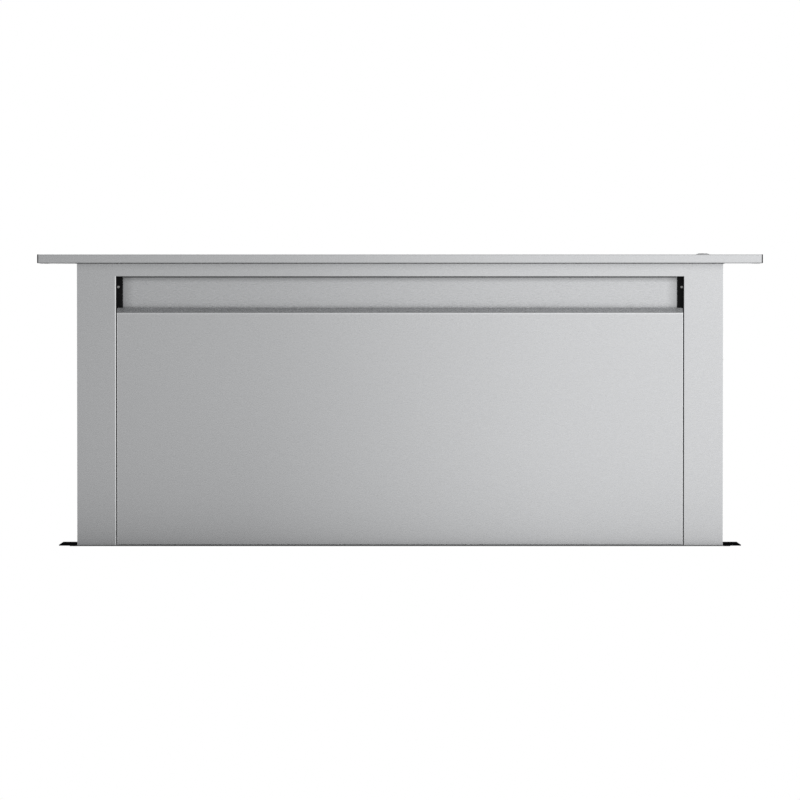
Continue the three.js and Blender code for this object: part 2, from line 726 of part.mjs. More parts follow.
function housingBackWall() {
  const half = housingHalf + SHEET;
  const wall = block([-half, housingFace, wallBottom], [half, housingOuter, wallTop]);
  return piece('housing_back_wall', wall, 'galvanised');
}

function housingFrontWall() {
  const half = housingHalf + SHEET;
  const wall = block([-half, -housingOuter, wallBottom], [half, -housingFace, wallTop]);
  const inlet = bar(
    'y',
    INLET_RADIUS,
    -housingOuter - SHEET,
    -housingFace + SHEET,
    [BLOWER_X, 0, BLOWER_Z],
  );
  return piece('housing_front_wall', cut(wall, inlet), 'galvanised');
}

function housingSide(end, side) {
  const face = housingFace - CLEARANCE;
  const wall = sideBlock(
    side,
    [housingHalf, -face, wallBottom],
    [housingHalf + SHEET, face, wallTop],
  );
  return piece(`${end}_housing_side`, wall, 'galvanised');
}

function basePlate() {
  const half = housingHalf + SHEET;
  const plate = block([-half, -housingOuter, 0], [half, housingOuter, BASE_THICKNESS]);
  return piece('base_plate', plate, 'galvanised');
}

// Shelf between the drive bay and the air space, with holes for the screws and the motor shaft.
function plenumFloor() {
  const half = housingHalf - CLEARANCE;
  const face = housingFace - CLEARANCE;
  const shelf = block([-half, -face, FLOOR_HEIGHT], [half, face, floorTop]);
  const holes = [[leadScrewX, JOURNAL_RADIUS], [-leadScrewX, JOURNAL_RADIUS],
    [liftMotorX, LIFT_SHAFT_RADIUS]].map(([x, radius]) => bar(
    'z',
    radius + 2 * RUNNING_GAP,
    FLOOR_HEIGHT - SHEET,
    floorTop + SHEET,
    [x, 0, 0],
  ));
  return piece('plenum_floor', cut(shelf, ...holes), 'galvanised');
}

// Trim strip on the worktop, with a leg down the outside of the housing.
function trimStrip(name, side) {
  const inner = chimneyFace + TRIM_RUNNING_GAP;
  const outer = housingOuter + TRIM_OVERHANG;
  const legNear = housingOuter + CLEARANCE;
  const lip = [side * inner, side * outer].sort((a, b) => a - b);
  const leg = [side * legNear, side * (legNear + SHEET)].sort((a, b) => a - b);
  const strip = joined(
    block([-chimneyHalf, lip[0], 0], [chimneyHalf, lip[1], TRIM_THICKNESS]),
    block([-chimneyHalf, leg[0], -TRIM_LEG], [chimneyHalf, leg[1], TRIM_THICKNESS / 2]),
  );
  return piece(name, strip, 'brushedSteel', [0, 0, HOUSING_HEIGHT]);
}

// Black end flange: a lip over the worktop and a body that guides the end of the chimney.
function endFlange(end, side) {
  const near = chimneyHalf + FLANGE_RUNNING_GAP;
  const face = housingOuter + TRIM_OVERHANG;
  const bodyFace = housingFace - CLEARANCE;
  const flange = joined(
    sideBlock(
      side,
      [near, -face, FLANGE_RISE],
      [chimneyHalf + FLANGE_REACH, face, FLANGE_RISE + FLANGE_LIP],
    ),
    sideBlock(
      side,
      [near, -face, 0],
      [chimneyHalf + FLANGE_SHOULDER, face, FLANGE_RISE + FLANGE_LIP / 2],
    ),
    sideBlock(
      side,
      [near, -bodyFace, -FLANGE_DEPTH],
      [housingHalf - CLEARANCE, bodyFace, FLANGE_RISE / 2],
    ),
  );
  const way = sideBlock(
    side,
    [chimneyHalf, STRIKER_BACKSET - STRIKER_WAY / 2, -FLANGE_DEPTH - SHEET],
    [
      chimneyHalf + FINE_GAP + STRIKER_HEAD_HEIGHT + FLANGE_RUNNING_GAP,
      STRIKER_BACKSET + STRIKER_WAY / 2,
      FLANGE_RISE + FLANGE_LIP + SHEET,
    ],
  );
  return piece(`${end}_end_flange`, cut(flange, way), 'blackCoat', [0, 0, HOUSING_HEIGHT]);
}

// Rubber wiper just below the trim, along the face of the chimney.
function wiperSeal(name, side) {
  const thickness = FACE_RUNNING_GAP - 2 * CLEARANCE;
  const strip = new THREE.BoxGeometry(2 * chimneyHalf, thickness, SEAL_HEIGHT);
  return piece(name, strip, 'rubber', [
    0,
    side * (chimneyFace + CLEARANCE + thickness / 2),
    HOUSING_HEIGHT - CLEARANCE - SEAL_HEIGHT / 2,
  ]);
}

// Bracket up the end of the housing with a long foot on the cabinet floor.
function leg(end, side) {
  const near = housingHalf + SHEET + CLEARANCE;
  const bracket = joined(
    sideBlock(side, [near, -housingFace, 0], [near + LEG_THICKNESS, housingFace, LEG_HEIGHT]),
    sideBlock(side, [near, -FOOT_FRONT, 0], [near + FOOT_WIDTH, FOOT_BACK, LEG_THICKNESS]),
  );
  return piece(`${end}_leg`, bracket, 'galvanised');
}

// ---- Lift drive --------------------------------------------------------------------------------

// Lead screw with a thinner journal through its bearing, the floor and its pulley.
function leadScrew(end, side) {
  const shoulder = bearingTop + CLEARANCE;
  const screw = turned([
    [0, PULLEY_BASE - PULLEY_HEIGHT / 2],
    [JOURNAL_RADIUS, PULLEY_BASE - PULLEY_HEIGHT / 2],
    [JOURNAL_RADIUS, shoulder],
    [LEAD_SCREW_RADIUS, shoulder],
    [LEAD_SCREW_RADIUS, HOUSING_HEIGHT - SCREW_TOP_DROP - SHEET],
    [LEAD_SCREW_RADIUS - SHEET, HOUSING_HEIGHT - SCREW_TOP_DROP],
    [0, HOUSING_HEIGHT - SCREW_TOP_DROP],
  ]);
  return piece(`${end}_lead_screw`, screw, 'groundSteel', [side * leadScrewX, 0, 0]);
}

// Pulley round a shaft of a given radius.
function pulley(name, shaftRadius, x) {
  const bore = shaftRadius + CLEARANCE;
  const wheel = turned([
    [bore, 0],
    [PULLEY_RADIUS, 0],
    [PULLEY_RADIUS, PULLEY_HEIGHT],
    [bore, PULLEY_HEIGHT],
    [bore, 0],
  ]);
  return piece(name, wheel, 'blackPlastic', [x, 0, PULLEY_BASE]);
}

function screwBearing(end, side) {
  const bore = JOURNAL_RADIUS + CLEARANCE;
  const bearing = turned([
    [bore, 0],
    [BEARING_RADIUS, 0],
    [BEARING_RADIUS, BEARING_HEIGHT],
    [bore, BEARING_HEIGHT],
    [bore, 0],
  ]);
  const place = [side * leadScrewX, 0, floorTop + CLEARANCE];
  return piece(`${end}_screw_bearing`, bearing, 'groundSteel', place);
}

function liftMotor() {
  const seat = floorTop + CLEARANCE;
  const motor = turned([
    [0, PULLEY_BASE],
    [LIFT_SHAFT_RADIUS, PULLEY_BASE],
    [LIFT_SHAFT_RADIUS, seat],
    [LIFT_MOTOR_RADIUS, seat],
    [LIFT_MOTOR_RADIUS, seat + LIFT_MOTOR_HEIGHT - SHEET],
    [LIFT_MOTOR_RADIUS - SHEET, seat + LIFT_MOTOR_HEIGHT],
    [0, seat + LIFT_MOTOR_HEIGHT],
  ]);
  return piece('lift_motor', motor, 'motorCoat', [liftMotorX, 0, 0]);
}

// A long loop with round ends, round both screw pulleys.
function loopOutline(radius) {
  const half = ROUND_SIDES / 2;
  const ends = [1, -1].flatMap((side) => Array.from({ length: half + 1 }, (_, i) => {
    const angle = -Math.PI / 2 + (Math.PI * i) / half;
    return [side * (leadScrewX + radius * Math.cos(angle)), side * radius * Math.sin(angle)];
  }));
  return ends;
}

function driveBelt() {
  const outer = extrudedZ(loopOutline(beltInner + BELT_THICKNESS), 0, BELT_WIDTH);
  const inner = extrudedZ(loopOutline(beltInner), -SHEET, BELT_WIDTH + SHEET);
  return piece('drive_belt', cut(outer, inner), 'rubber', [0, 0, beltBase]);
}

// Flat switch on the inside of an end wall, with its middle at a height from the worktop.
function limitSwitch(name, side, front, height) {
  const body = new THREE.BoxGeometry(
    LIMIT_SWITCH_THICKNESS,
    LIMIT_SWITCH_DEPTH,
    LIMIT_SWITCH_HEIGHT,
  );
  return piece(name, body, 'blackPlastic', [
    side * (housingHalf - CLEARANCE - LIMIT_SWITCH_THICKNESS / 2),
    front + LIMIT_SWITCH_DEPTH / 2,
    HOUSING_HEIGHT + height,
  ]);
}

// ---- Blower, from the middle of its inlet on the housing's front wall ----------------------------

// Line of the volute's wall: outlet floor, tongue, growing spiral, outlet ceiling.
function voluteLine() {
  const spiral = Array.from({ length: VOLUTE_STEPS + 1 }, (_, i) => {
    const share = i / VOLUTE_STEPS;
    const end = THREE.MathUtils.degToRad(VOLUTE_END_DEGREES);
    const angle = THREE.MathUtils.lerp(voluteStart, end, share);
    const radius = THREE.MathUtils.lerp(voluteStartRadius, outletCeiling, share);
    return [radius * Math.cos(angle), radius * Math.sin(angle)];
  });
  return [
    [-OUTLET_REACH, outletFloor],
    ...spiral,
    [-OUTLET_REACH, outletCeiling],
  ];
}

// A side plate of the blower between two depths, with a round hole.
function blowerPlate(name, from, to, hole, finish) {
  const line = voluteLine();
  const right = Math.max(...line.map(([x]) => x)) + PLATE_MARGIN;
  const low = Math.min(...line.map(([, z]) => z)) - PLATE_MARGIN;
  const plate = block([-OUTLET_REACH, from, low], [right, to, outletCeiling + PLATE_MARGIN]);
  const opening = bar('y', hole, from - SHEET, to + SHEET);
  return piece(name, cut(plate, opening), finish);
}

function volute() {
  const section = sheetSection(voluteLine(), VOLUTE_WALL);
  const wall = extrudedY(section, voluteBack - voluteDepth, voluteBack);
  return piece('blower_volute', wall, 'galvanised');
}

// Bladed wheel: disc and hub at the motor's end, ring at the inlet's end.
function impeller() {
  const discFront = wheelBack + WHEEL_DISC;
  const ringBack = wheelFront - WHEEL_DISC;
  const bladeRadius = WHEEL_RADIUS - BLADE_LENGTH / 2;
  const tilt = THREE.MathUtils.degToRad(BLADE_TILT_DEGREES);
  const ringHole = bar('y', WHEEL_RADIUS - BLADE_LENGTH, ringBack - SHEET, wheelFront + SHEET);
  const ring = cut(bar('y', WHEEL_RADIUS, ringBack, wheelFront), ringHole);
  const blades = Array.from({ length: BLADES }, (_, i) => {
    const blade = new THREE.BoxGeometry(
      BLADE_LENGTH,
      WHEEL_WIDTH - WHEEL_DISC,
      BLADE_THICKNESS,
    );
    blade.rotateY(tilt);
    blade.translate(bladeRadius, (wheelFront + wheelBack) / 2, 0);
    return blade.rotateY((2 * Math.PI * i) / BLADES);
  });
  const wheel = joined(
    bar('y', WHEEL_RADIUS, wheelBack, discFront),
    bar('y', HUB_RADIUS, wheelBack, wheelBack + HUB_LENGTH),
    ring,
    ...blades,
  );
  const bore = bar('y', MOTOR_SHAFT_RADIUS + CLEARANCE, wheelBack - SHEET, wheelFront + SHEET);
  return piece('impeller', cut(wheel, bore), 'galvanised');
}

function blowerMotor() {
  const flangeFront = motorSeat - MOTOR_FLANGE_THICKNESS;
  const motor = turned([
    [0, shaftEnd],
    [MOTOR_SHAFT_RADIUS, shaftEnd],
    [MOTOR_SHAFT_RADIUS, motorSeat],
    [MOTOR_FLANGE_RADIUS, motorSeat],
    [MOTOR_FLANGE_RADIUS, flangeFront],
    [MOTOR_RADIUS, flangeFront],
    [MOTOR_RADIUS, flangeFront - MOTOR_LENGTH],
    [0, flangeFront - MOTOR_LENGTH],
  ].reverse());
  motor.rotateX(-Math.PI / 2);
  return piece('blower_motor', motor, 'motorCoat');
}

// Plate over the blower's outlet with a round collar for the duct.
function ductCollar() {
  const at = [0, outletMiddleY, outletMiddleZ];
  const plate = block(
    [collarFace, voluteBack - voluteDepth, outletFloor],
    [collarFace + VOLUTE_WALL, voluteBack, outletCeiling],
  );
  const tubeEnd = collarFace - COLLAR_LENGTH;
  const tube = bar('x', collarRadius, tubeEnd, collarFace + VOLUTE_WALL / 2, at);
  const bore = bar('x', DUCT_RADIUS, tubeEnd - SHEET, collarFace + VOLUTE_WALL + SHEET, at);
  return piece('duct_collar', cut(joined(plate, tube), bore), 'galvanised');
}

// Butterfly damper: a disc on a shaft across the collar.
function damperFlap() {
  const radius = DUCT_RADIUS - DAMPER_GAP;
  const reach = DUCT_RADIUS * Math.cos(Math.PI / ROUND_SIDES) - CLEARANCE;
  const flap = joined(
    bar('x', radius, -DAMPER_THICKNESS / 2, DAMPER_THICKNESS / 2),
    bar('y', DAMPER_SHAFT_RADIUS, -reach, reach, [0, 0, 0], SMALL_SIDES),
  );
  const place = [collarFace - DAMPER_SETBACK, outletMiddleY, outletMiddleZ];
  return piece('damper_flap', flap, 'zincPlated', place);
}

// ---- Junction box ------------------------------------------------------------------------------

function junctionBox() {
  const [halfX, halfZ] = [BOX_WIDTH / 2, BOX_HEIGHT / 2];
  const tray = cut(
    block([-halfX, -BOX_DEPTH, -halfZ], [halfX, 0, halfZ]),
    block([-halfX + SHEET, -BOX_DEPTH - SHEET, -halfZ + SHEET], [halfX - SHEET, -SHEET, halfZ - SHEET]),
    bar(
      'x',
      GLAND_RADIUS + CLEARANCE,
      -halfX - SHEET,
      -halfX + 2 * SHEET,
      [0, -BOX_DEPTH / 2, 0],
    ),
  );
  return piece('junction_box', tray, 'galvanised');
}

function junctionBoxCover() {
  const cover = new THREE.BoxGeometry(BOX_WIDTH, COVER_THICKNESS, BOX_HEIGHT);
  const place = [0, -BOX_DEPTH - CLEARANCE - COVER_THICKNESS / 2, 0];
  return piece('junction_box_cover', cover, 'galvanised', place);
}

// Gland in the left side of the junction box, where the supply goes in.
function cableGland() {
  const inner = -GLAND_NUT_HEIGHT / 2;
  const seat = SHEET + CLEARANCE;
  const nutEnd = SHEET + GLAND_NUT_HEIGHT;
  const gland = turned([
    [GLAND_BORE, inner],
    [GLAND_RADIUS, inner],
    [GLAND_RADIUS, seat],
    [GLAND_NUT_RADIUS, seat],
    [GLAND_NUT_RADIUS, nutEnd],
    [GLAND_BORE + SHEET, nutEnd + GLAND_NUT_HEIGHT],
    [GLAND_BORE, nutEnd + GLAND_NUT_HEIGHT],
    [GLAND_BORE, inner],
  ]);
  gland.rotateY(-Math.PI / 2);
  const place = [-BOX_WIDTH / 2 + SHEET, -BOX_DEPTH / 2, 0];
  return piece('cable_gland', gland, 'blackPlastic', place);
}

// ---- The vent ----------------------------------------------------------------------------------

const chimney = assembly([
  topCap(),
  chimneyFrontFrame(),
  chimneyBackPanel(),
  chimneyTopPlate(),
  chimneyBottomFrame(),
  intakeBaffle(),
  ...bothEnds(filterGuide),
  ...bothEnds(guideScrew),
  ...bothEnds(greaseFilter),
  filterCentrePost(),
  ...bothEnds(panelMagnet),
  ...bothEnds(liftNut),
  ...bothEnds(glide),
  strikerScrew(),
  frontPanel(),
  buttonBezel(),
  controlButton(),
  buttonSwitch(),
], [0, 0, HOUSING_HEIGHT]);

const housing = assembly([
  housingFrontWall(),
  housingBackWall(),
  ...bothEnds(housingSide),
  basePlate(),
  plenumFloor(),
  trimStrip('front_trim', -1),
  trimStrip('rear_trim', 1),
  ...bothEnds(endFlange),
  wiperSeal('front_seal', -1),
  wiperSeal('rear_seal', 1),
  ...bothEnds(leg),
]);

const liftDrive = assembly([
  ...bothEnds(leadScrew),
  ...bothEnds(screwBearing),
  pulley('left_pulley', JOURNAL_RADIUS, -leadScrewX),
  pulley('right_pulley', JOURNAL_RADIUS, leadScrewX),
  pulley('motor_pulley', LIFT_SHAFT_RADIUS, liftMotorX),
  liftMotor(),
  driveBelt(),
  limitSwitch('down_limit_switch', 1, STRIKER_BACKSET - LIMIT_SWITCH_DEPTH / 2,
    STRIKER_HEIGHT - liftTravel),
  limitSwitch('up_limit_switch', -1, glideFront,
    -CHIMNEY_ENGAGEMENT + 2 * SHEET + GLIDE_HEIGHT + LIMIT_SWITCH_HEIGHT / 2),
]);

const blower = assembly([
  blowerPlate('blower_back_plate', -CLEARANCE - BLOWER_PLATE, -CLEARANCE, INLET_RADIUS,
    'galvanised'),
  volute(),
  blowerPlate('blower_front_plate', frontPlateBack - BLOWER_PLATE, frontPlateBack,
    MOTOR_SHAFT_RADIUS + MOTOR_SHAFT_ROOM, 'galvanised'),
  impeller(),
  blowerMotor(),
  ductCollar(),
  damperFlap(),
], [BLOWER_X, -housingOuter, BLOWER_Z]);

const junction = assembly([
  junctionBox(),
  junctionBoxCover(),
  cableGland(),
], [boxX, -housingOuter - CLEARANCE, BOX_Z]);

export default assembly([chimney, housing, liftDrive, blower, junction]);
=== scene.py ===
"""Looks of a downdraft vent, raised: brushed steel chimney, galvanised housing and blower.

Metres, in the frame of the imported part: +X to the right as the cook sees it, -Y towards the
cook, +Z up, and the origin on the cabinet floor under the middle of the base plate.
"""
import logging
import math
from dataclasses import dataclass
from enum import Enum
from functools import cache
from typing import Callable, Iterable, Sequence

import bmesh
import bpy
from mathutils import Matrix, Vector


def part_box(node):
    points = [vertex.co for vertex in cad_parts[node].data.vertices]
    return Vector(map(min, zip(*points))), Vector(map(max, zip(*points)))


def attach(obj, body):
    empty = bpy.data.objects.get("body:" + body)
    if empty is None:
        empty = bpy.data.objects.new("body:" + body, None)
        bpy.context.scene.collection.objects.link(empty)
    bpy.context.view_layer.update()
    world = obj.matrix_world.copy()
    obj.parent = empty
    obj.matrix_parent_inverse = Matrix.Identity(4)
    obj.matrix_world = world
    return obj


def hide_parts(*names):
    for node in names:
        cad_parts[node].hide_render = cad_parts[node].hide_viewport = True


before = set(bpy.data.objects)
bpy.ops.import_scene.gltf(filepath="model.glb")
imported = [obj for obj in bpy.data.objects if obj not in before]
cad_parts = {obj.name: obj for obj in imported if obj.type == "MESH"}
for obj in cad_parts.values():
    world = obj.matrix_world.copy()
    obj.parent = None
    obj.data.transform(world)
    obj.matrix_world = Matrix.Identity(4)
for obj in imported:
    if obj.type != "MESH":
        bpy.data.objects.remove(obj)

LOG = logging.getLogger("vent")
MM = 0.001
SEAL_DROP = 0.3 * MM  # worktop's surface to the top of the front wiper
Colour = tuple[float, float, float]
Point = Sequence[float]
Socket = bpy.types.NodeSocket


def worktop() -> float:
    """Gives the height of the worktop's surface, where the lips of the trim strips lie."""
    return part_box("front_seal")[1].z + SEAL_DROP


def span(node: str) -> tuple[Vector, Vector]:
    """Gives the lowest and the highest corner of a CAD node."""
    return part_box(node)


def centre(node: str) -> Vector:
    """Gives the middle of a CAD node."""
    low, high = span(node)
    return (low + high) / 2


# ---- Finishes -------------------------------------------------------------------------------


@dataclass(frozen=True)
class Ramp:
    """A change of a value between two places on a scale, held beyond them.

    Attributes:
        start: Place where it starts.
        end: Place where it ends.
        low: Value at the start.
        high: Value at the end.
    """

    start: float
    end: float
    low: float
    high: float


class Tree:
    """A shader's node tree, with short ways to add to it."""

    def __init__(self, tree: bpy.types.NodeTree) -> None:
        """Takes the node tree to add to."""
        self.tree = tree

    def add(self, kind: str, **values: object) -> bpy.types.Node:
        """Adds a node.

        Args:
            kind: Blender's name for the kind of node.
            values: Attributes of the node to set.

        Returns:
            The new node.
        """
        node = self.tree.nodes.new(kind)
        for name, value in values.items():
            setattr(node, name, value)
        return node

    def join(self, source: Socket, target: Socket) -> None:
        """Links an output to an input."""
        self.tree.links.new(source, target)

    def parts(self, source: Socket) -> tuple[Socket, ...]:
        """Splits a vector into its three parts.

        Args:
            source: The vector.

        Returns:
            Its X, Y and Z.
        """
        split = self.add("ShaderNodeSeparateXYZ")
        self.join(source, split.inputs[0])
        return tuple(split.outputs)

    def ramped(self, source: Socket, ramp: Ramp, soft: bool = False) -> Socket:
        """Maps a value by a ramp.

        Args:
            source: The value.
            ramp: The ramp.
            soft: Eases in and out if true, and else changes evenly.

        Returns:
            The mapped value.
        """
        mapped = self.add("ShaderNodeMapRange",
                          interpolation_type="SMOOTHSTEP" if soft else "LINEAR")
        for name, value in (("From Min", ramp.start), ("From Max", ramp.end),
                            ("To Min", ramp.low), ("To Max", ramp.high)):
            mapped.inputs[name].default_value = value
        self.join(source, mapped.inputs["Value"])
        return mapped.outputs["Result"]

    def ranged(self, source: Socket, low: float, high: float, start: float = 0.3,
               end: float = 0.7) -> Socket:
        """Maps a value evenly, so that start gives low and end gives high, held beyond them."""
        return self.ramped(source, Ramp(start, end, low, high))

    def combined(self, operation: str, first: Socket, second: Socket,
                 clamp: bool = False) -> Socket:
        """Works out two values together.

        Args:
            operation: Blender's name for the sum or product.
            first: A value.
            second: A value.
            clamp: Holds the result between 0 and 1.

        Returns:
            The result.
        """
        node = self.add("ShaderNodeMath", operation=operation, use_clamp=clamp)
        self.join(first, node.inputs[0])
        self.join(second, node.inputs[1])
        return node.outputs[0]

    def distance(self, source: Socket) -> Socket:
        """Drops the sign of a value.

        Args:
            source: The value.

        Returns:
            The value without its sign.
        """
        node = self.add("ShaderNodeMath", operation="ABSOLUTE")
        self.join(source, node.inputs[0])
        return node.outputs[0]

    def mixed(self, share: Socket, first: Socket, second: Socket) -> Socket:
        """Mixes two shaders.

        Args:
            share: How much of the second shader shows.
            first: A shader.
            second: A shader.

        Returns:
            The mixed shader.
        """
        mix = self.add("ShaderNodeMixShader")
        for source, target in zip((share, first, second), mix.inputs):
            self.join(source, target)
        return mix.outputs[0]


class Board(Tree):
    """The node tree of one material."""

    def __init__(self, name: str) -> None:
        """Makes an empty material.

        Args:
            name: Name of the material.
        """
        self.material = bpy.data.materials.new(name)
        self.material.use_nodes = True
        super().__init__(self.material.node_tree)
        self.shader = self.tree.nodes["Principled BSDF"]
        self.surface = self.tree.nodes["Material Output"].inputs["Surface"]
        self.place = self.add("ShaderNodeTexCoord").outputs["Object"]

    def noise(self, stretch: Colour, detail: float = 2.0, rough: float = 0.5) -> Socket:
        """Adds a noise pattern.

        Args:
            stretch: Repeats per metre along X, Y and Z.
            detail: Octaves of the noise.
            rough: How strong the finer octaves are.

        Returns:
            The pattern's value, from 0 to 1.
        """
        mapping = self.add("ShaderNodeMapping")
        mapping.inputs["Scale"].default_value = stretch
        self.join(self.place, mapping.inputs["Vector"])
        noise = self.add("ShaderNodeTexNoise")
        noise.inputs["Scale"].default_value = 1.0
        noise.inputs["Detail"].default_value = detail
        noise.inputs["Roughness"].default_value = rough
        self.join(mapping.outputs["Vector"], noise.inputs["Vector"])
        return noise.outputs["Fac"]

    def cells(self, scale: float) -> Socket:
        """Adds a pattern of flat crystal cells.

        Args:
            scale: Cells per metre.

        Returns:
            The colour output, one random colour for each cell.
        """
        voronoi = self.add("ShaderNodeTexVoronoi")
        voronoi.inputs["Scale"].default_value = scale
        self.join(self.place, voronoi.inputs["Vector"])
        return voronoi.outputs["Color"]

    def blend(self, share: Socket, first: object, second: object) -> Socket:
        """Mixes two colours.

        Args:
            share: How much of the second colour shows.
            first: A colour or a socket.
            second: A colour or a socket.

        Returns:
            The mixed colour.
        """
        mix = self.add("ShaderNodeMix", data_type="RGBA")
        self.join(share, mix.inputs["Factor"])
        for socket, value in ((mix.inputs[6], first), (mix.inputs[7], second)):
            if isinstance(value, Socket):
                self.join(value, socket)
            else:
                socket.default_value = (*value, 1.0)
        return mix.outputs[2]

    def relief(self, height: Socket, depth: float, strength: float = 1.0) -> None:
        """Adds a bump to the shader.

        Args:
            height: Pattern of the relief, from 0 to 1.
            depth: Height of the relief in metres.
            strength: Strength of the bump.
        """
        bump = self.add("ShaderNodeBump")
        bump.inputs["Strength"].default_value = strength
        bump.inputs["Distance"].default_value = depth
        self.join(height, bump.inputs["Height"])
        if self.shader.inputs["Normal"].is_linked:
            self.join(self.shader.inputs["Normal"].links[0].from_socket, bump.inputs["Normal"])
        self.join(bump.outputs["Normal"], self.shader.inputs["Normal"])

    def set(self, **values: float | Sequence[float]) -> None:
        """Sets plain values of the shader, with _ for each space in a socket's name."""
        for name, value in values.items():
            self.shader.inputs[name.replace("_", " ")].default_value = value

    def paint(self, name: str, source: Socket) -> None:
        """Links a pattern to one of the shader's sockets."""
        self.join(source, self.shader.inputs[name])


def shade(colour: Colour, factor: float) -> Colour:
    """Makes a colour darker or lighter by a factor."""
    return tuple(min(value * factor, 1.0) for value in colour)


@dataclass(frozen=True)
class Finish:
    """A surface finish, made into a Blender material once.

    Attributes:
        name: Name of the material.
        slot: Material slot of the record that it stands for; not used.
        colour: Main colour, linear.
        roughness: Mean roughness.
    """

    name: str
    slot: str
    colour: Colour
    roughness: float

    @cache
    def material(self) -> bpy.types.Material:
        """Gives the material, which is made at the first call.

        Returns:
            The material.
        """
        board = Board(f"{self.name}_finish")
        board.set(Roughness=self.roughness)
        self.draw(board)
        return board.material

    def draw(self, board: Board) -> None:
        """Draws the finish on the board of its material."""
        raise NotImplementedError


@dataclass(frozen=True)
class PaintedLight:
    """A zone of painted light on steel: painted shade near another piece, where its shade falls,
    or a painted highlight along a fold or an edge.

    Attributes:
        upright: Runs along Z if true, and else along X, both ways from the middle.
        start: Place where it starts.
        end: Place where it is strongest.
        depth: Share of the tone that the painted shade takes away there, or that the painted
            highlight adds where it is negative.
    """

    upright: bool
    start: float
    end: float
    depth: float


@dataclass(frozen=True)
class Brushed(Finish):
    """Steel ground in long strokes along X, as on the chimney and the cap.

    Attributes:
        stroke: Length of a stroke.
        grain: Width of a stroke.
        contrast: How far the strokes differ in tone.
        spread: How much wider the shine spreads across the strokes than along them.
        painted_zones: Its zones of painted shade and painted highlight.
    """

    stroke: float = 7 * MM
    grain: float = 0.9 * MM
    contrast: float = 0.022
    spread: float = 1.0
    painted_zones: tuple[PaintedLight, ...] = ()

    def draw(self, board: Board) -> None:
        """Draws coarse and fine strokes, a faint cloud of wear, and the zones of painted shade and
        painted highlight.

        Args:
            board: The material's node tree.
        """
        coarse = board.noise((1 / self.stroke, 1 / self.grain, 1 / self.grain), 2.0, 0.6)
        fine = board.noise((1 / (0.5 * self.stroke), 4 / self.grain, 4 / self.grain), 1.0)
        cloud = board.noise((5.0, 9.0, 9.0), 3.0)
        strokes = board.ranged(coarse, 0.0, 1.0, 0.25, 0.75)
        dark = shade(self.colour, 1.0 - self.contrast)
        light = shade(self.colour, 1.0 + self.contrast)
        toned = board.blend(strokes, dark, light)
        wear_and_painted_light = board.blend(board.ranged(cloud, 0.0, 0.05), toned, shade(self.colour, 0.82))
        # painted shade and painted highlights are multiplied into the worn colour here
        for light_zone in self.painted_zones:
            wear_and_painted_light = self.paint_light_zone(board, wear_and_painted_light, light_zone)
        board.paint("Base Color", wear_and_painted_light)
        board.set(Metallic=1.0, Anisotropic=self.spread)
        board.paint("Roughness", board.ranged(fine, self.roughness - 0.04, self.roughness + 0.05))
        across = board.add("ShaderNodeVectorMath", operation="CROSS_PRODUCT")
        board.join(board.add("ShaderNodeNewGeometry").outputs["Normal"], across.inputs[0])
        across.inputs[1].default_value = (1.0, 0.0, 0.0)
        upright = board.add("ShaderNodeVectorMath", operation="ADD")
        board.join(across.outputs[0], upright.inputs[0])
        upright.inputs[1].default_value = (0.0, 0.0, 0.05)
        board.paint("Tangent", upright.outputs[0])
        board.relief(fine, 0.004 * MM, 0.35)

    @staticmethod
    def paint_light_zone(board: Board, colour: Socket, light_zone: PaintedLight) -> Socket:
        """Paints shade or a highlight into the steel's colour in one zone.

        Args:
            board: The material's node tree.
            colour: Colour so far.
            light_zone: The zone of painted light.

        Returns:
            The colour with the zone in it.
        """
        across, _, height = board.parts(board.place)
        distance = board.distance(height if light_zone.upright else across)
        scaled = board.add("ShaderNodeVectorMath", operation="SCALE")
        board.join(colour, scaled.inputs[0])
        board.join(board.ranged(distance, 1.0, 1.0 - light_zone.depth, light_zone.start, light_zone.end),
                   scaled.inputs["Scale"])
        return scaled.outputs["Vector"]


@dataclass(frozen=True)
class Galvanised(Finish):
    """Zinc-coated sheet with the crystal pattern of the bath."""

    def draw(self, board: Board) -> None:
        """Draws crystals in two sizes and handling marks.

        Args:
            board: The material's node tree.
        """
        small = board.add("ShaderNodeSeparateColor")
        board.join(board.cells(85.0), small.inputs["Color"])
        large = board.add("ShaderNodeSeparateColor")
        board.join(board.cells(34.0), large.inputs["Color"])
        tone = board.blend(board.ranged(small.outputs["Red"], 0.0, 1.0, 0.0, 1.0),
                           shade(self.colour, 0.84), shade(self.colour, 1.12))
        patch = board.blend(board.ranged(large.outputs["Green"], 0.0, 0.4, 0.0, 1.0),
                            tone, shade(self.colour, 0.8))
        marks = board.noise((12.0, 12.0, 30.0), 5.0, 0.6)
        board.paint("Base Color", board.blend(board.ranged(marks, 0.0, 0.3, 0.5, 0.8),
                                              patch, shade(self.colour, 0.78)))
        board.set(Metallic=0.9)
        board.paint("Roughness", board.ranged(small.outputs["Blue"], self.roughness - 0.07,
                                              self.roughness + 0.1, 0.0, 1.0))
        board.relief(marks, 0.05 * MM, 0.25)


@dataclass(frozen=True)
class Bright(Finish):
    """Plated or ground metal of small parts: screws, rivets, shafts.

    Attributes:
        metallic: How far it is metal.
        grain: Repeats of its fine pattern per metre.
    """

    metallic: float = 1.0
    grain: float = 900.0

    def draw(self, board: Board) -> None:
        """Draws a fine uneven tone with small dull spots.

        Args:
            board: The material's node tree.
        """
        tone = board.noise((self.grain, self.grain, self.grain), 3.0)
        spots = board.noise((150.0, 150.0, 150.0), 4.0, 0.65)
        mixed = board.blend(board.ranged(tone, 0.0, 1.0),
                            shade(self.colour, 0.93), shade(self.colour, 1.06))
        board.paint("Base Color", board.blend(board.ranged(spots, 0.0, 0.4, 0.5, 0.75),
                                              mixed, shade(self.colour, 0.72)))
        board.set(Metallic=self.metallic)
        board.paint("Roughness", board.ranged(spots, self.roughness - 0.05, self.roughness + 0.1))
        board.relief(tone, 0.02 * MM, 0.2)


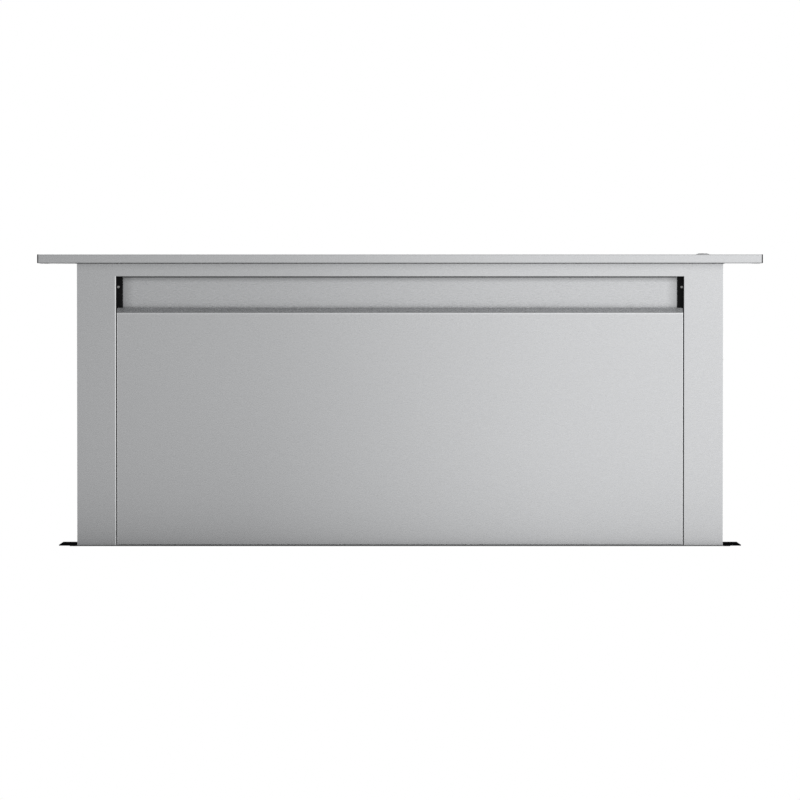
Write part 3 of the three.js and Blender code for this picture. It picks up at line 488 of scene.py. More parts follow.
@dataclass(frozen=True)
class Coated(Finish):
    """Paint, powder coat, plastic or rubber: a grained skin without metal shine.

    Attributes:
        grain: Repeats of the skin's grain per metre.
        depth: Height of the grain.
        dust: How much lighter its dusty places are.
        coat: Weight of a clear top coat.
        shine: Level of its plain reflection.
    """

    grain: float = 1500.0
    depth: float = 0.03 * MM
    dust: float = 1.6
    coat: float = 0.0
    shine: float = 0.5

    def draw(self, board: Board) -> None:
        """Draws the grain of the skin and a little dust.

        Args:
            board: The material's node tree.
        """
        skin = board.noise((self.grain, self.grain, self.grain), 2.0)
        dust = board.noise((22.0, 22.0, 40.0), 5.0, 0.65)
        base = board.blend(board.ranged(skin, 0.0, 1.0),
                           shade(self.colour, 0.88), shade(self.colour, 1.12))
        board.paint("Base Color", board.blend(board.ranged(dust, 0.0, 0.45, 0.5, 0.8),
                                              base, shade(self.colour, self.dust)))
        board.paint("Roughness", board.ranged(dust, self.roughness - 0.04, self.roughness + 0.1))
        board.set(Coat_Weight=self.coat, Specular_IOR_Level=self.shine)
        board.relief(skin, self.depth, 0.4)


PLAIN_STEEL = (0.70, 0.707, 0.719)
SLOT_TOP = worktop() + 340.9 * MM    # upper edge of the intake slot
PANEL_FOLD = worktop() + 294.5 * MM  # fold between the front panel and its lip
PANEL_END = span("front_panel")[1].x


class Look(Enum):
    """The finishes of the vent."""

    STEEL = Brushed("brushed_steel", "stainless", PLAIN_STEEL, 0.24)
    # front frame: painted shade, the steel darker towards its top where the cap overhangs it
    FRAME_STEEL_PAINTED_SHADE = Brushed("frame_steel_painted_shade", "stainless", PLAIN_STEEL, 0.24, painted_zones=(
        PaintedLight(True, SLOT_TOP + 6.1 * MM, SLOT_TOP + 16.1 * MM, 0.1),))
    # baffle: slightly darker steel, with painted shade under the slot's upper edge and towards
    # both ends, where the rail and the filter guides shade it
    SLOT_STEEL_PAINTED_SHADE = Brushed("slot_steel_painted_shade", "stainless", (0.68, 0.687, 0.70), 0.26, painted_zones=(
        PaintedLight(True, SLOT_TOP - 7.4 * MM, SLOT_TOP - 0.4 * MM, 0.4),
        PaintedLight(False, PANEL_END - 20.55 * MM, PANEL_END - 5.55 * MM, 0.32)))
    # front panel: a painted highlight in a narrow band under the fold and along both side edges;
    # the second zone takes the band back out above the fold
    PANEL_STEEL_PAINTED_HIGHLIGHT = Brushed("panel_steel_painted_highlight", "stainless", PLAIN_STEEL, 0.24, painted_zones=(
        PaintedLight(True, PANEL_FOLD - 1.6 * MM, PANEL_FOLD - 1.2 * MM, -0.22),
        PaintedLight(True, PANEL_FOLD - 0.4 * MM, PANEL_FOLD, 0.18),
        PaintedLight(False, PANEL_END - 1.3 * MM, PANEL_END - 0.7 * MM, -0.2)))
    # left hem: a lighter copy of the steel, a painted highlight where light from the right falls
    # on it
    HEM_STEEL_PAINTED_HIGHLIGHT = Brushed("hem_steel_painted_highlight", "stainless", (0.87, 0.877, 0.887), 0.24)
    # trims at the foot: the steel painted dark, as painted shade and a painted dark reflection of
    # the worktop
    FOOT_STEEL_PAINTED_SHADE = Brushed("foot_steel_painted_shade", "stainless", (0.22, 0.222, 0.226), 0.35)
    BUTTON = Brushed("button_steel", "button_steel", (0.36, 0.36, 0.365), 0.28, spread=0.3)
    GALVANISED = Galvanised("galvanised_sheet", "galvanised", (0.56, 0.575, 0.585), 0.42)
    BEZEL = Bright("bezel_chrome", "zinc_plated", (0.15, 0.15, 0.155), 0.3)
    # screws in the dark ends of the slot: the zinc plate painted darker, as painted shade
    PLATED_PAINTED_SHADE = Bright("zinc_plate_painted_shade", "zinc_plated", (0.3, 0.3, 0.295), 0.38)
    PLATED = Bright("zinc_plate", "zinc_plated", (0.66, 0.66, 0.64), 0.3)
    GROUND = Bright("ground_steel", "ground_steel", (0.68, 0.685, 0.69), 0.2, grain=2500.0)
    MESH = Bright("filter_wire", "filter_mesh", (0.6, 0.605, 0.61), 0.34)
    PAD = Bright("filter_pad", "filter_mesh", (0.2, 0.2, 0.2), 0.5, grain=500.0)
    BRONZE = Bright("bronze", "bronze", (0.46, 0.28, 0.1), 0.34)
    BLACK = Coated("black_powder_coat", "black_coat", (0.003, 0.003, 0.0033), 0.7, shine=0.0)
    PLASTIC = Coated("black_plastic", "black_plastic", (0.003, 0.003, 0.0033), 0.6, shine=0.1)
    NYLON = Coated("nylon", "nylon", (0.68, 0.65, 0.58), 0.5, dust=0.85)
    RUBBER = Coated("rubber", "rubber", (0.012, 0.012, 0.012), 0.78, grain=900.0)
    MOTOR = Coated("motor_paint", "motor_coat", (0.022, 0.025, 0.029), 0.38, grain=1100.0,
                   coat=0.2)


# ---- Skins of the CAD solids ------------------------------------------------------------------


SMOOTH_ANGLE = math.radians(32)
BEVEL_ANGLE = math.radians(35)
FLAT_ANGLE = math.radians(0.5)
WELD_GAP = 0.002 * MM


@cache
def smoothing() -> bpy.types.NodeTree:
    """Makes the node group that shades faces smooth up to an angle.

    Returns:
        The geometry node tree, made at the first call.
    """
    tree = bpy.data.node_groups.new("smooth_by_angle", "GeometryNodeTree")
    tree.interface.new_socket("Geometry", in_out="INPUT", socket_type="NodeSocketGeometry")
    tree.interface.new_socket("Geometry", in_out="OUTPUT", socket_type="NodeSocketGeometry")
    start = tree.nodes.new("NodeGroupInput")
    end = tree.nodes.new("NodeGroupOutput")
    angle = tree.nodes.new("GeometryNodeInputMeshEdgeAngle")
    soft = tree.nodes.new("FunctionNodeCompare")
    soft.operation = "LESS_THAN"
    soft.inputs["B"].default_value = SMOOTH_ANGLE
    faces = tree.nodes.new("GeometryNodeSetShadeSmooth")
    edges = tree.nodes.new("GeometryNodeSetShadeSmooth")
    edges.domain = "EDGE"
    tree.links.new(start.outputs[0], faces.inputs["Geometry"])
    tree.links.new(faces.outputs["Geometry"], edges.inputs["Geometry"])
    tree.links.new(angle.outputs["Unsigned Angle"], soft.inputs["A"])
    tree.links.new(soft.outputs["Result"], edges.inputs["Shade Smooth"])
    tree.links.new(edges.outputs["Geometry"], end.inputs[0])
    return tree


def round_edges(obj: bpy.types.Object, edge: float) -> None:
    """Rounds an object's sharp edges with modifiers and shades its curved faces smooth.

    Args:
        obj: The object.
        edge: Width of the rounding, or 0 for none.
    """
    weld = obj.modifiers.new("weld", "WELD")
    weld.merge_threshold = WELD_GAP
    flat = obj.modifiers.new("flat", "DECIMATE")
    flat.decimate_type = "DISSOLVE"
    flat.angle_limit = FLAT_ANGLE
    if edge > 0:
        bevel = obj.modifiers.new("edge", "BEVEL")
        bevel.width = edge
        bevel.segments = 2
        bevel.limit_method = "ANGLE"
        bevel.angle_limit = BEVEL_ANGLE
        bevel.use_clamp_overlap = True
        bevel.miter_outer = "MITER_ARC"
    smooth = obj.modifiers.new("smooth", "NODES")
    smooth.node_group = smoothing()
    normals = obj.modifiers.new("normals", "WEIGHTED_NORMAL")
    normals.keep_sharp = True
    normals.weight = 100


def dress(node: str, look: Look, edge: float) -> None:
    """Gives a CAD node its finish and rounds its edges.

    Args:
        node: Name of the node.
        look: Its finish.
        edge: Width of its rounded edges.
    """
    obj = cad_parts[node]
    obj.data.materials.clear()
    obj.data.materials.append(look.value.material())
    round_edges(obj, edge)
    LOG.info("dressed %s in %s", node, look.value.name)


# ---- Making meshes --------------------------------------------------------------------------


Radius = float | Callable[[float], float]
SUNK = 0.1 * MM  # depth that a made form reaches into the sheet that it sits on
SIDES = (-1, 1)
ENDS = ((-1, "left"), (1, "right"))
CORNERS = tuple((side, rise) for side in SIDES for rise in SIDES)


def measured(*pairs: tuple[Radius, float]) -> list[tuple[Radius, float]]:
    """Turns pairs in millimetres into metres, and leaves a function in them as it is."""
    return [(radius if callable(radius) else radius * MM, height * MM) for radius, height in pairs]


def facing(place: Point, out: Point, turn: float = 0.0) -> Matrix:
    """Gives a frame at a place, with its Z axis out of the surface, turned about that axis."""
    outward = Vector(out).to_track_quat("Z", "Y").to_matrix().to_4x4()
    return Matrix.Translation(place) @ outward @ Matrix.Rotation(turn, 4, "Z")


def upright_frame(place: Point) -> Matrix:
    """Gives a frame at a place whose Z axis points to the cook and whose Y axis points up."""
    return Matrix.Translation(place) @ Matrix.Rotation(math.pi / 2, 4, "X")


class Shape:
    """A mesh in the making, gathered from closed bodies."""

    def __init__(self) -> None:
        """Starts without any body."""
        self.mesh = bmesh.new()

    def loft(self, rows: Sequence[Sequence[Point]], at: Matrix, ring: bool = False) -> None:
        """Adds a body skinned over rows of points.

        Args:
            rows: The rows, each with as many points, in the frame of at.
            at: Place of the body.
            ring: Joins the last row to the first instead of closing both ends.
        """
        made = [[self.mesh.verts.new(at @ Vector(point)) for point in row] for row in rows]
        pairs = list(zip(made, made[1:]))
        if ring:
            pairs.append((made[-1], made[0]))
        else:
            self.mesh.faces.new(made[0][::-1])
            self.mesh.faces.new(made[-1])
        for low, high in pairs:
            for here, after in zip(range(len(low)), [*range(1, len(low)), 0]):
                self.mesh.faces.new((low[here], low[after], high[after], high[here]))
        bmesh.ops.remove_doubles(self.mesh, verts=[vert for row in made for vert in row],
                                 dist=0.0001 * MM)

    def turned(self, profile: Sequence[tuple[Radius, float]], at: Matrix, sides: int = 24,
               ring: bool = False) -> None:
        """Adds a body turned about the Z axis of a frame.

        Args:
            profile: Pairs of radius and height; a radius may be a function of the angle.
            at: The frame.
            sides: Faces round the body.
            ring: Closes the profile on itself instead of on the axis.
        """
        rows = []
        for radius, height in profile:
            row = []
            for step in range(sides):
                angle = math.tau * step / sides
                reach = radius(angle) if callable(radius) else radius
                row.append((reach * math.cos(angle), reach * math.sin(angle), height))
            rows.append(row)
        self.loft(rows, at, ring)

    def prism(self, outline: Sequence[Point], low: float, high: float, at: Matrix) -> None:
        """Adds a flat outline drawn out along the Z axis of a frame, from low to high."""
        self.loft([[(x, y, level) for x, y in outline] for level in (low, high)], at)

    def ribbon(self, line: Sequence[Point], across: tuple[float, float],
               depth: tuple[float, float], at: Matrix) -> None:
        """Adds a strip of rectangular section along a flat line.

        Args:
            line: Points of the line in the XY plane of the frame.
            across: Offsets of the strip's two sides, to the right of the line.
            depth: Its two levels along Z.
            at: The frame.
        """
        rows = []
        for index, point in enumerate(line):
            before = Vector(line[max(index - 1, 0)])
            after = Vector(line[min(index + 1, len(line) - 1)])
            along = (after - before).normalized()
            right = Vector((along.y, -along.x))
            near, far = (Vector(point) + right * offset for offset in across)
            rows.append([(*near, depth[0]), (*far, depth[0]), (*far, depth[1]), (*near, depth[1])])
        self.loft(rows, at)

    def border(self, size: tuple[float, float], section: Sequence[tuple[float, float]],
               at: Matrix) -> None:
        """Adds a rectangular frame with mitred corners.

        Args:
            size: Outer width and height.
            section: Points of the section, as distance inwards and level.
            at: Frame in the middle of the rectangle.
        """
        rows = []
        for side, rise in ((-1, -1), (1, -1), (1, 1), (-1, 1)):
            rows.append([(side * (size[0] / 2 - inset), rise * (size[1] / 2 - inset), level)
                         for inset, level in section])
        self.loft(rows, at, ring=True)

    def bead(self, length: float, width: float, height: float, at: Matrix) -> None:
        """Adds a pressed stiffening bead with round ends, along the X axis of a frame.

        Args:
            length: Its whole length.
            width: Its width.
            height: How far it stands out.
            at: Frame in its middle, on the sheet.
        """
        straight = length / 2 - width / 2
        turn = [math.radians(angle) for angle in (0, 30, 60, 90)]
        ends = [(straight + width / 2 * math.sin(angle), math.cos(angle)) for angle in turn]
        stations = [(-along, share) for along, share in reversed(ends)] + ends
        arc = [math.radians(angle) for angle in range(0, 181, 30)]
        rows = []
        for along, share in stations:
            crown = [(along, share * width / 2 * math.cos(angle), share * height * math.sin(angle))
                     for angle in arc]
            foot = [(along, side * share * width / 2, -SUNK * share) for side in SIDES]
            rows.append(crown + foot)
        self.loft(rows, at)

    def place(self, name: str, body: str, look: Look, edge: float = 0.0) -> bpy.types.Object:
        """Makes the object, finishes it and lets it ride on a body.

        Args:
            name: Name of the piece.
            body: Body that carries it.
            look: Its finish.
            edge: Width of its rounded edges.

        Returns:
            The object.
        """
        bmesh.ops.recalc_face_normals(self.mesh, faces=self.mesh.faces)
        data = bpy.data.meshes.new(name)
        self.mesh.to_mesh(data)
        self.mesh.free()
        data.materials.append(look.value.material())
        piece = bpy.data.objects.new(name, data)
        bpy.context.scene.collection.objects.link(piece)
        round_edges(piece, edge)
        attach(piece, body)
        LOG.info("made %s on %s: %d faces", name, body, len(data.polygons))
        return piece


# ---- Fasteners ------------------------------------------------------------------------------


@dataclass(frozen=True)
class HexScrew:
    """Screw with a hexagon head on a pressed washer.

    Attributes:
        washer: Radius of the washer.
        corner: Radius to the corners of the hexagon.
        height: Height over all.
    """

    washer: float = 5.2 * MM
    corner: float = 4.4 * MM
    height: float = 4.4 * MM

    def add(self, shape: Shape, at: Matrix) -> None:
        """Adds the head, with its chamfered top and the dimple in it.

        Args:
            shape: Shape that gets it.
            at: Frame on the surface that it sits on.
        """
        rim = 0.2 * self.height
        shape.turned([(0, 0), (self.washer, 0), (self.washer, 0.6 * rim), (0.9 * self.washer, rim),
                      (0, rim)], at, 20)
        chamfer = 0.85 * self.height
        shape.turned([(0, rim), (self.corner, rim), (self.corner, chamfer),
                      (0.84 * self.corner, self.height), (0.55 * self.corner, self.height),
                      (0.42 * self.corner, chamfer), (0, chamfer)], at, 6)


@dataclass(frozen=True)
class CrossScrew:
    """Screw with a low domed head and a cross recess.

    Attributes:
        radius: Radius of the head.
        height: Height of the head.
    """

    radius: float = 3.2 * MM
    height: float = 1.9 * MM

    def cross(self, angle: float) -> float:
        """Gives the outline of the recess.

        Args:
            angle: Angle round the head.

        Returns:
            The outline's distance from the middle.
        """
        long, narrow = 0.56 * self.radius, 0.17 * self.radius
        run = max(abs(math.cos(angle)), 0.001)
        rise = max(abs(math.sin(angle)), 0.001)
        return max(min(long / run, narrow / rise), min(long / rise, narrow / run))

    def add(self, shape: Shape, at: Matrix) -> None:
        """Adds the head.

        Args:
            shape: Shape that gets it.
            at: Frame on the surface that it sits on.
        """
        rise, reach = self.height, self.radius
        shape.turned([(0, 0), (reach, 0), (reach, 0.25 * rise), (0.94 * reach, 0.6 * rise),
                      (0.8 * reach, 0.87 * rise), (0.66 * reach, rise), (self.cross, rise),
                      (lambda angle: 0.8 * self.cross(angle), 0.4 * rise), (0, 0.3 * rise)],
                     at, 40)


@dataclass(frozen=True)
class Rivet:
    """Blind rivet with the end of its mandrel in the middle.

    Attributes:
        radius: Radius of the head.
    """

    radius: float = 3.2 * MM

    def add(self, shape: Shape, at: Matrix) -> None:
        """Adds the head.

        Args:
            shape: Shape that gets it.
            at: Frame on the surface that it sits on.
        """
        shape.turned([(share * self.radius, rise * self.radius) for share, rise in (
            (0, 0), (1, 0), (0.97, 0.2), (0.78, 0.42), (0.45, 0.52), (0.36, 0.5), (0.32, 0.3),
            (0, 0.34))], at, 20)


Fastener = HexScrew | CrossScrew | Rivet


def fasten(name: str, body: str, look: Look, kind: Fastener, places: Iterable[Matrix]) -> None:
    """Makes a group of like fasteners as one piece.

    Args:
        name: Name of the piece.
        body: Body that carries it.
        look: Their finish.
        kind: The fastener.
        places: Frames on the surfaces that they sit on.
    """
    shape = Shape()
    for at in places:
        kind.add(shape, at)
    shape.place(name, body, look)


# ---- The studio -----------------------------------------------------------------------------


def sheet(name: str, corners: Sequence[Point], material: bpy.types.Material) -> bpy.types.Object:
    """Makes a flat sheet of the studio.

    Args:
        name: Name of the sheet.
        corners: Its four corners.
        material: Its material.

    Returns:
        The sheet.
    """
    mesh = bpy.data.meshes.new(name)
    mesh.from_pydata(corners, [], [(0, 1, 2, 3)])
    mesh.materials.append(material)
    made = bpy.data.objects.new(name, mesh)
    bpy.context.scene.collection.objects.link(made)
    return made


def square(reach: float) -> list[Point]:
    """Gives the corners of a level square whose sides are so far from the origin."""
    return [(-reach, -reach, 0), (reach, -reach, 0), (reach, reach, 0), (-reach, reach, 0)]


def hide(obj: bpy.types.Object, *rays: str) -> None:
    """Hides an object from some kinds of rays."""
    for ray in rays:
        setattr(obj, f"visible_{ray}", False)


def aim(obj: bpy.types.Object, target: Point) -> None:
    """Turns a camera or a lamp to a point."""
    obj.rotation_mode = "QUATERNION"
    obj.rotation_quaternion = (Vector(target) - obj.location).to_track_quat("-Z", "Y")


@dataclass(frozen=True)
class Lamp:
    """A square soft lamp that faces the middle of the vent.

    Attributes:
        name: Name of the lamp.
        place: Its place.
        side: Length of its side.
        power: Its power in watts.
        shows: Whether reflections show it.
        target: Point that it faces.
    """

    name: str
    place: tuple[float, float, float]
    side: float
    power: float
    shows: bool
    target: tuple[float, float, float] = (0.0, 0.0, 0.7)

    def hang(self) -> None:
        """Hangs the lamp, out of the camera's sight."""
        data = bpy.data.lights.new(self.name, "AREA")
        data.size = self.side
        data.energy = self.power
        lamp = bpy.data.objects.new(self.name, data)
        lamp.location = self.place
        aim(lamp, self.target)
        lamp.visible_camera = False
        lamp.visible_glossy = self.shows
        bpy.context.scene.collection.objects.link(lamp)


@dataclass
class Studio:
    """Camera, floor, white surroundings and soft lamps.

    Attributes:
        picture: Width of the photograph, in pixels.
        pixel: Size of one pixel on the front of the chimney.
        distance: Camera to the front of the chimney.
        horizon_row: Row of the photograph at the camera's own height.
        foot_row: Row where the photograph cuts the object off, at the worktop's surface.
        sensor: Width of the camera's sensor, in millimetres.
        card_distance: Camera to the white card that hides what is under the worktop.
        card_reach: Half the card's width, as a share of the picture's width.
        floor_reach: Half the side of the floor.
        floor_glow: Its glow for the camera, by the distance from the vent.
        counter_reach: Half the side of the worktop in the reflections.
        counter_across: Its brightness from left to right.
        counter_away: What is added away from the vent, to the front and to the back.
        room_across: Brightness of the room from left to right, by the side of a direction.
        room_changes: What is added to it, by the side of a direction.
        room_even: Factor and addition that even it out high up, by a direction's height.
        room_heights: Factors by a direction's height: darker near the floor and overhead.
        room_behind: How far reflections see white, by how far back a direction points.
        lamps: The lamps: one to the right in front, one above.
    """

    picture: float = 800.0
    pixel: float = 1.2632 * MM
    distance: float = 5.25
    horizon_row: float = 317.0
    foot_row: float = 546.15
    sensor: float = 36.0
    card_distance: float = 20 * MM
    card_reach: float = 0.6
    floor_reach: float = 6.0
    floor_glow: Ramp = Ramp(0.7, 2.2, 0.35, 1.0)
    counter_reach: float = 2.5
    counter_across: Ramp = Ramp(-0.2, 0.2, 0.12, 0.4)
    counter_away: tuple[Ramp, ...] = (Ramp(0.03, 0.26, 0.05, 0.38), Ramp(0.26, 2.2, 0.0, 0.24))
    room_across: Ramp = Ramp(-0.09, 0.09, 0.427, 1.147)
    room_changes: tuple[Ramp, ...] = (
        Ramp(-0.045, -0.0144, 0.0, -0.05), Ramp(-0.0144, 0.0144, 0.0, 0.1),
        Ramp(0.0144, 0.034, 0.0, -0.05), Ramp(-0.34, -0.14, 0.62, 0.0),
        Ramp(0.14, 0.5, 0.0, -0.42))
    room_even: tuple[Ramp, Ramp] = (Ramp(0.35, 0.75, 1.0, 0.79), Ramp(0.35, 0.75, 0.0, 0.24))
    room_heights: tuple[Ramp, ...] = (Ramp(-0.5, 0.1, 0.5, 1.05), Ramp(0.3, 0.8, 1.0, 0.45))
    room_behind: Ramp = Ramp(0.05, 0.35, 0.0, 1.0)
    lamps: tuple[Lamp, ...] = (Lamp("key_lamp", (3.2, -2.6, 2.6), 4.4, 60.0, True),
                               Lamp("top_lamp", (-0.6, -0.4, 3.6), 3.0, 50.0, False))

    def height_of(self, row: float) -> float:
        """Gives the height at the chimney's front of a row of the photograph."""
        return worktop() + (self.foot_row - row) * self.pixel

    def build(self) -> None:
        """Makes the whole studio."""
        self.card(self.camera())
        self.floor()
        self.counter()
        self.surroundings()
        for lamp in self.lamps:
            lamp.hang()

    def camera(self) -> bpy.types.Object:
        """Puts up the camera at the photograph's place.

        Returns:
            The camera.
        """
        front = span("chimney_front_frame")[0].y
        data = bpy.data.cameras.new("camera")
        data.sensor_width = self.sensor
        data.lens = self.sensor * self.distance / (self.picture * self.pixel)
        data.clip_start = 1 * MM
        data.clip_end = 100
        camera = bpy.data.objects.new("camera", data)
        bpy.context.scene.collection.objects.link(camera)
        camera.location = (0, front - self.distance, self.height_of(self.horizon_row))
        aim(camera, (0, front, self.height_of(self.picture / 2)))
        bpy.context.scene.camera = camera
        return camera

    def card(self, camera: bpy.types.Object) -> None:
        """Hangs the card that stands in for the worktop, close in front of the camera.

        The photograph shows only what stands above the worktop, on white.

        Args:
            camera: The camera.
        """
        scale = self.card_distance * self.sensor / camera.data.lens / self.picture
        top = (self.picture / 2 - self.foot_row) * scale
        half = self.card_reach * self.picture * scale
        corners = [(-half, top), (-half, -half), (half, -half), (half, top)]
        board = Board("card_white")
        board.tree.nodes.remove(board.shader)
        board.join(board.add("ShaderNodeEmission").outputs[0], board.surface)
        card = sheet("worktop_card", [(x, y, -self.card_distance) for x, y in corners],
                     board.material)
        bpy.context.view_layer.update()
        card.matrix_world = camera.matrix_world.copy()
        hide(card, "diffuse", "glossy", "transmission", "shadow", "volume_scatter")

    def floor(self) -> None:
        """Lays the pale floor, which looks white to the camera except where shadow falls."""
        board = Board("floor_white")
        board.set(Roughness=0.9, Specular_IOR_Level=0.1, Emission_Color=(1, 1, 1, 1))
        mottle = board.noise((3.0, 3.0, 3.0), 3.0)
        board.paint("Base Color", board.blend(mottle, (0.84, 0.84, 0.84), (0.86, 0.86, 0.86)))
        place = board.add("ShaderNodeVectorMath", operation="LENGTH")
        board.join(board.place, place.inputs[0])
        lift = board.ramped(place.outputs["Value"], self.floor_glow)
        seen = board.add("ShaderNodeLightPath").outputs["Is Camera Ray"]
        board.paint("Emission Strength", board.combined("MULTIPLY", seen, lift))
        floor = sheet("floor", square(self.floor_reach), board.material)

    def counter(self) -> None:
        """Lays the worktop that only the steel's reflections see, dark close to the vent."""
        board = Board("counter_grey")
        board.tree.nodes.remove(board.shader)
        across, depth, _ = board.parts(board.place)
        away = board.distance(depth)
        total = board.ramped(across, self.counter_across)
        for ramp in self.counter_away:
            total = board.combined("ADD", total, board.ramped(away, ramp))
        glow = board.add("ShaderNodeEmission")
        board.join(total, glow.inputs["Strength"])
        below = board.add("ShaderNodeNewGeometry").outputs["Backfacing"]
        clear = board.add("ShaderNodeBsdfTransparent")
        board.join(board.mixed(below, glow.outputs[0], clear.outputs[0]), board.surface)
        counter = sheet("counter", square(self.counter_reach), board.material)
        counter.location.z = worktop()
        hide(counter, "camera", "diffuse", "transmission", "shadow", "volume_scatter")

    def surroundings(self) -> None:
        """Makes the world: white behind the object, and a soft room in front of it."""
        world = bpy.data.worlds.new("studio")
        bpy.context.scene.world = world
        world.use_nodes = True
        world.node_tree.nodes.clear()
        tree = Tree(world.node_tree)
        side, depth, height = tree.parts(tree.add("ShaderNodeTexCoord").outputs["Generated"])
        room = tree.ramped(side, self.room_across)
        for ramp in self.room_changes:
            room = tree.combined("ADD", room, tree.ramped(side, ramp, soft=True))
        factor, added = (tree.ramped(height, ramp, soft=True) for ramp in self.room_even)
        room = tree.combined("ADD", tree.combined("MULTIPLY", room, factor), added)
        for ramp in self.room_heights:
            room = tree.combined("MULTIPLY", room, tree.ramped(height, ramp, soft=True))
        path = tree.add("ShaderNodeLightPath").outputs
        gloss = tree.combined("ADD", path["Is Glossy Ray"], path["Is Transmission Ray"], True)
        behind = tree.combined("MULTIPLY", gloss, tree.ramped(depth, self.room_behind, soft=True))
        white = tree.combined("ADD", path["Is Camera Ray"], behind, True)
        soft, clear = (tree.add("ShaderNodeBackground") for _ in range(2))
        for shader in (soft, clear):
            shader.inputs["Color"].default_value = (1, 1, 1, 1)
        tree.join(room, soft.inputs["Strength"])
        tree.join(tree.mixed(white, soft.outputs[0], clear.outputs[0]),
                  tree.add("ShaderNodeOutputWorld").inputs["Surface"])


# ---- The chimney ----------------------------------------------------------------------------


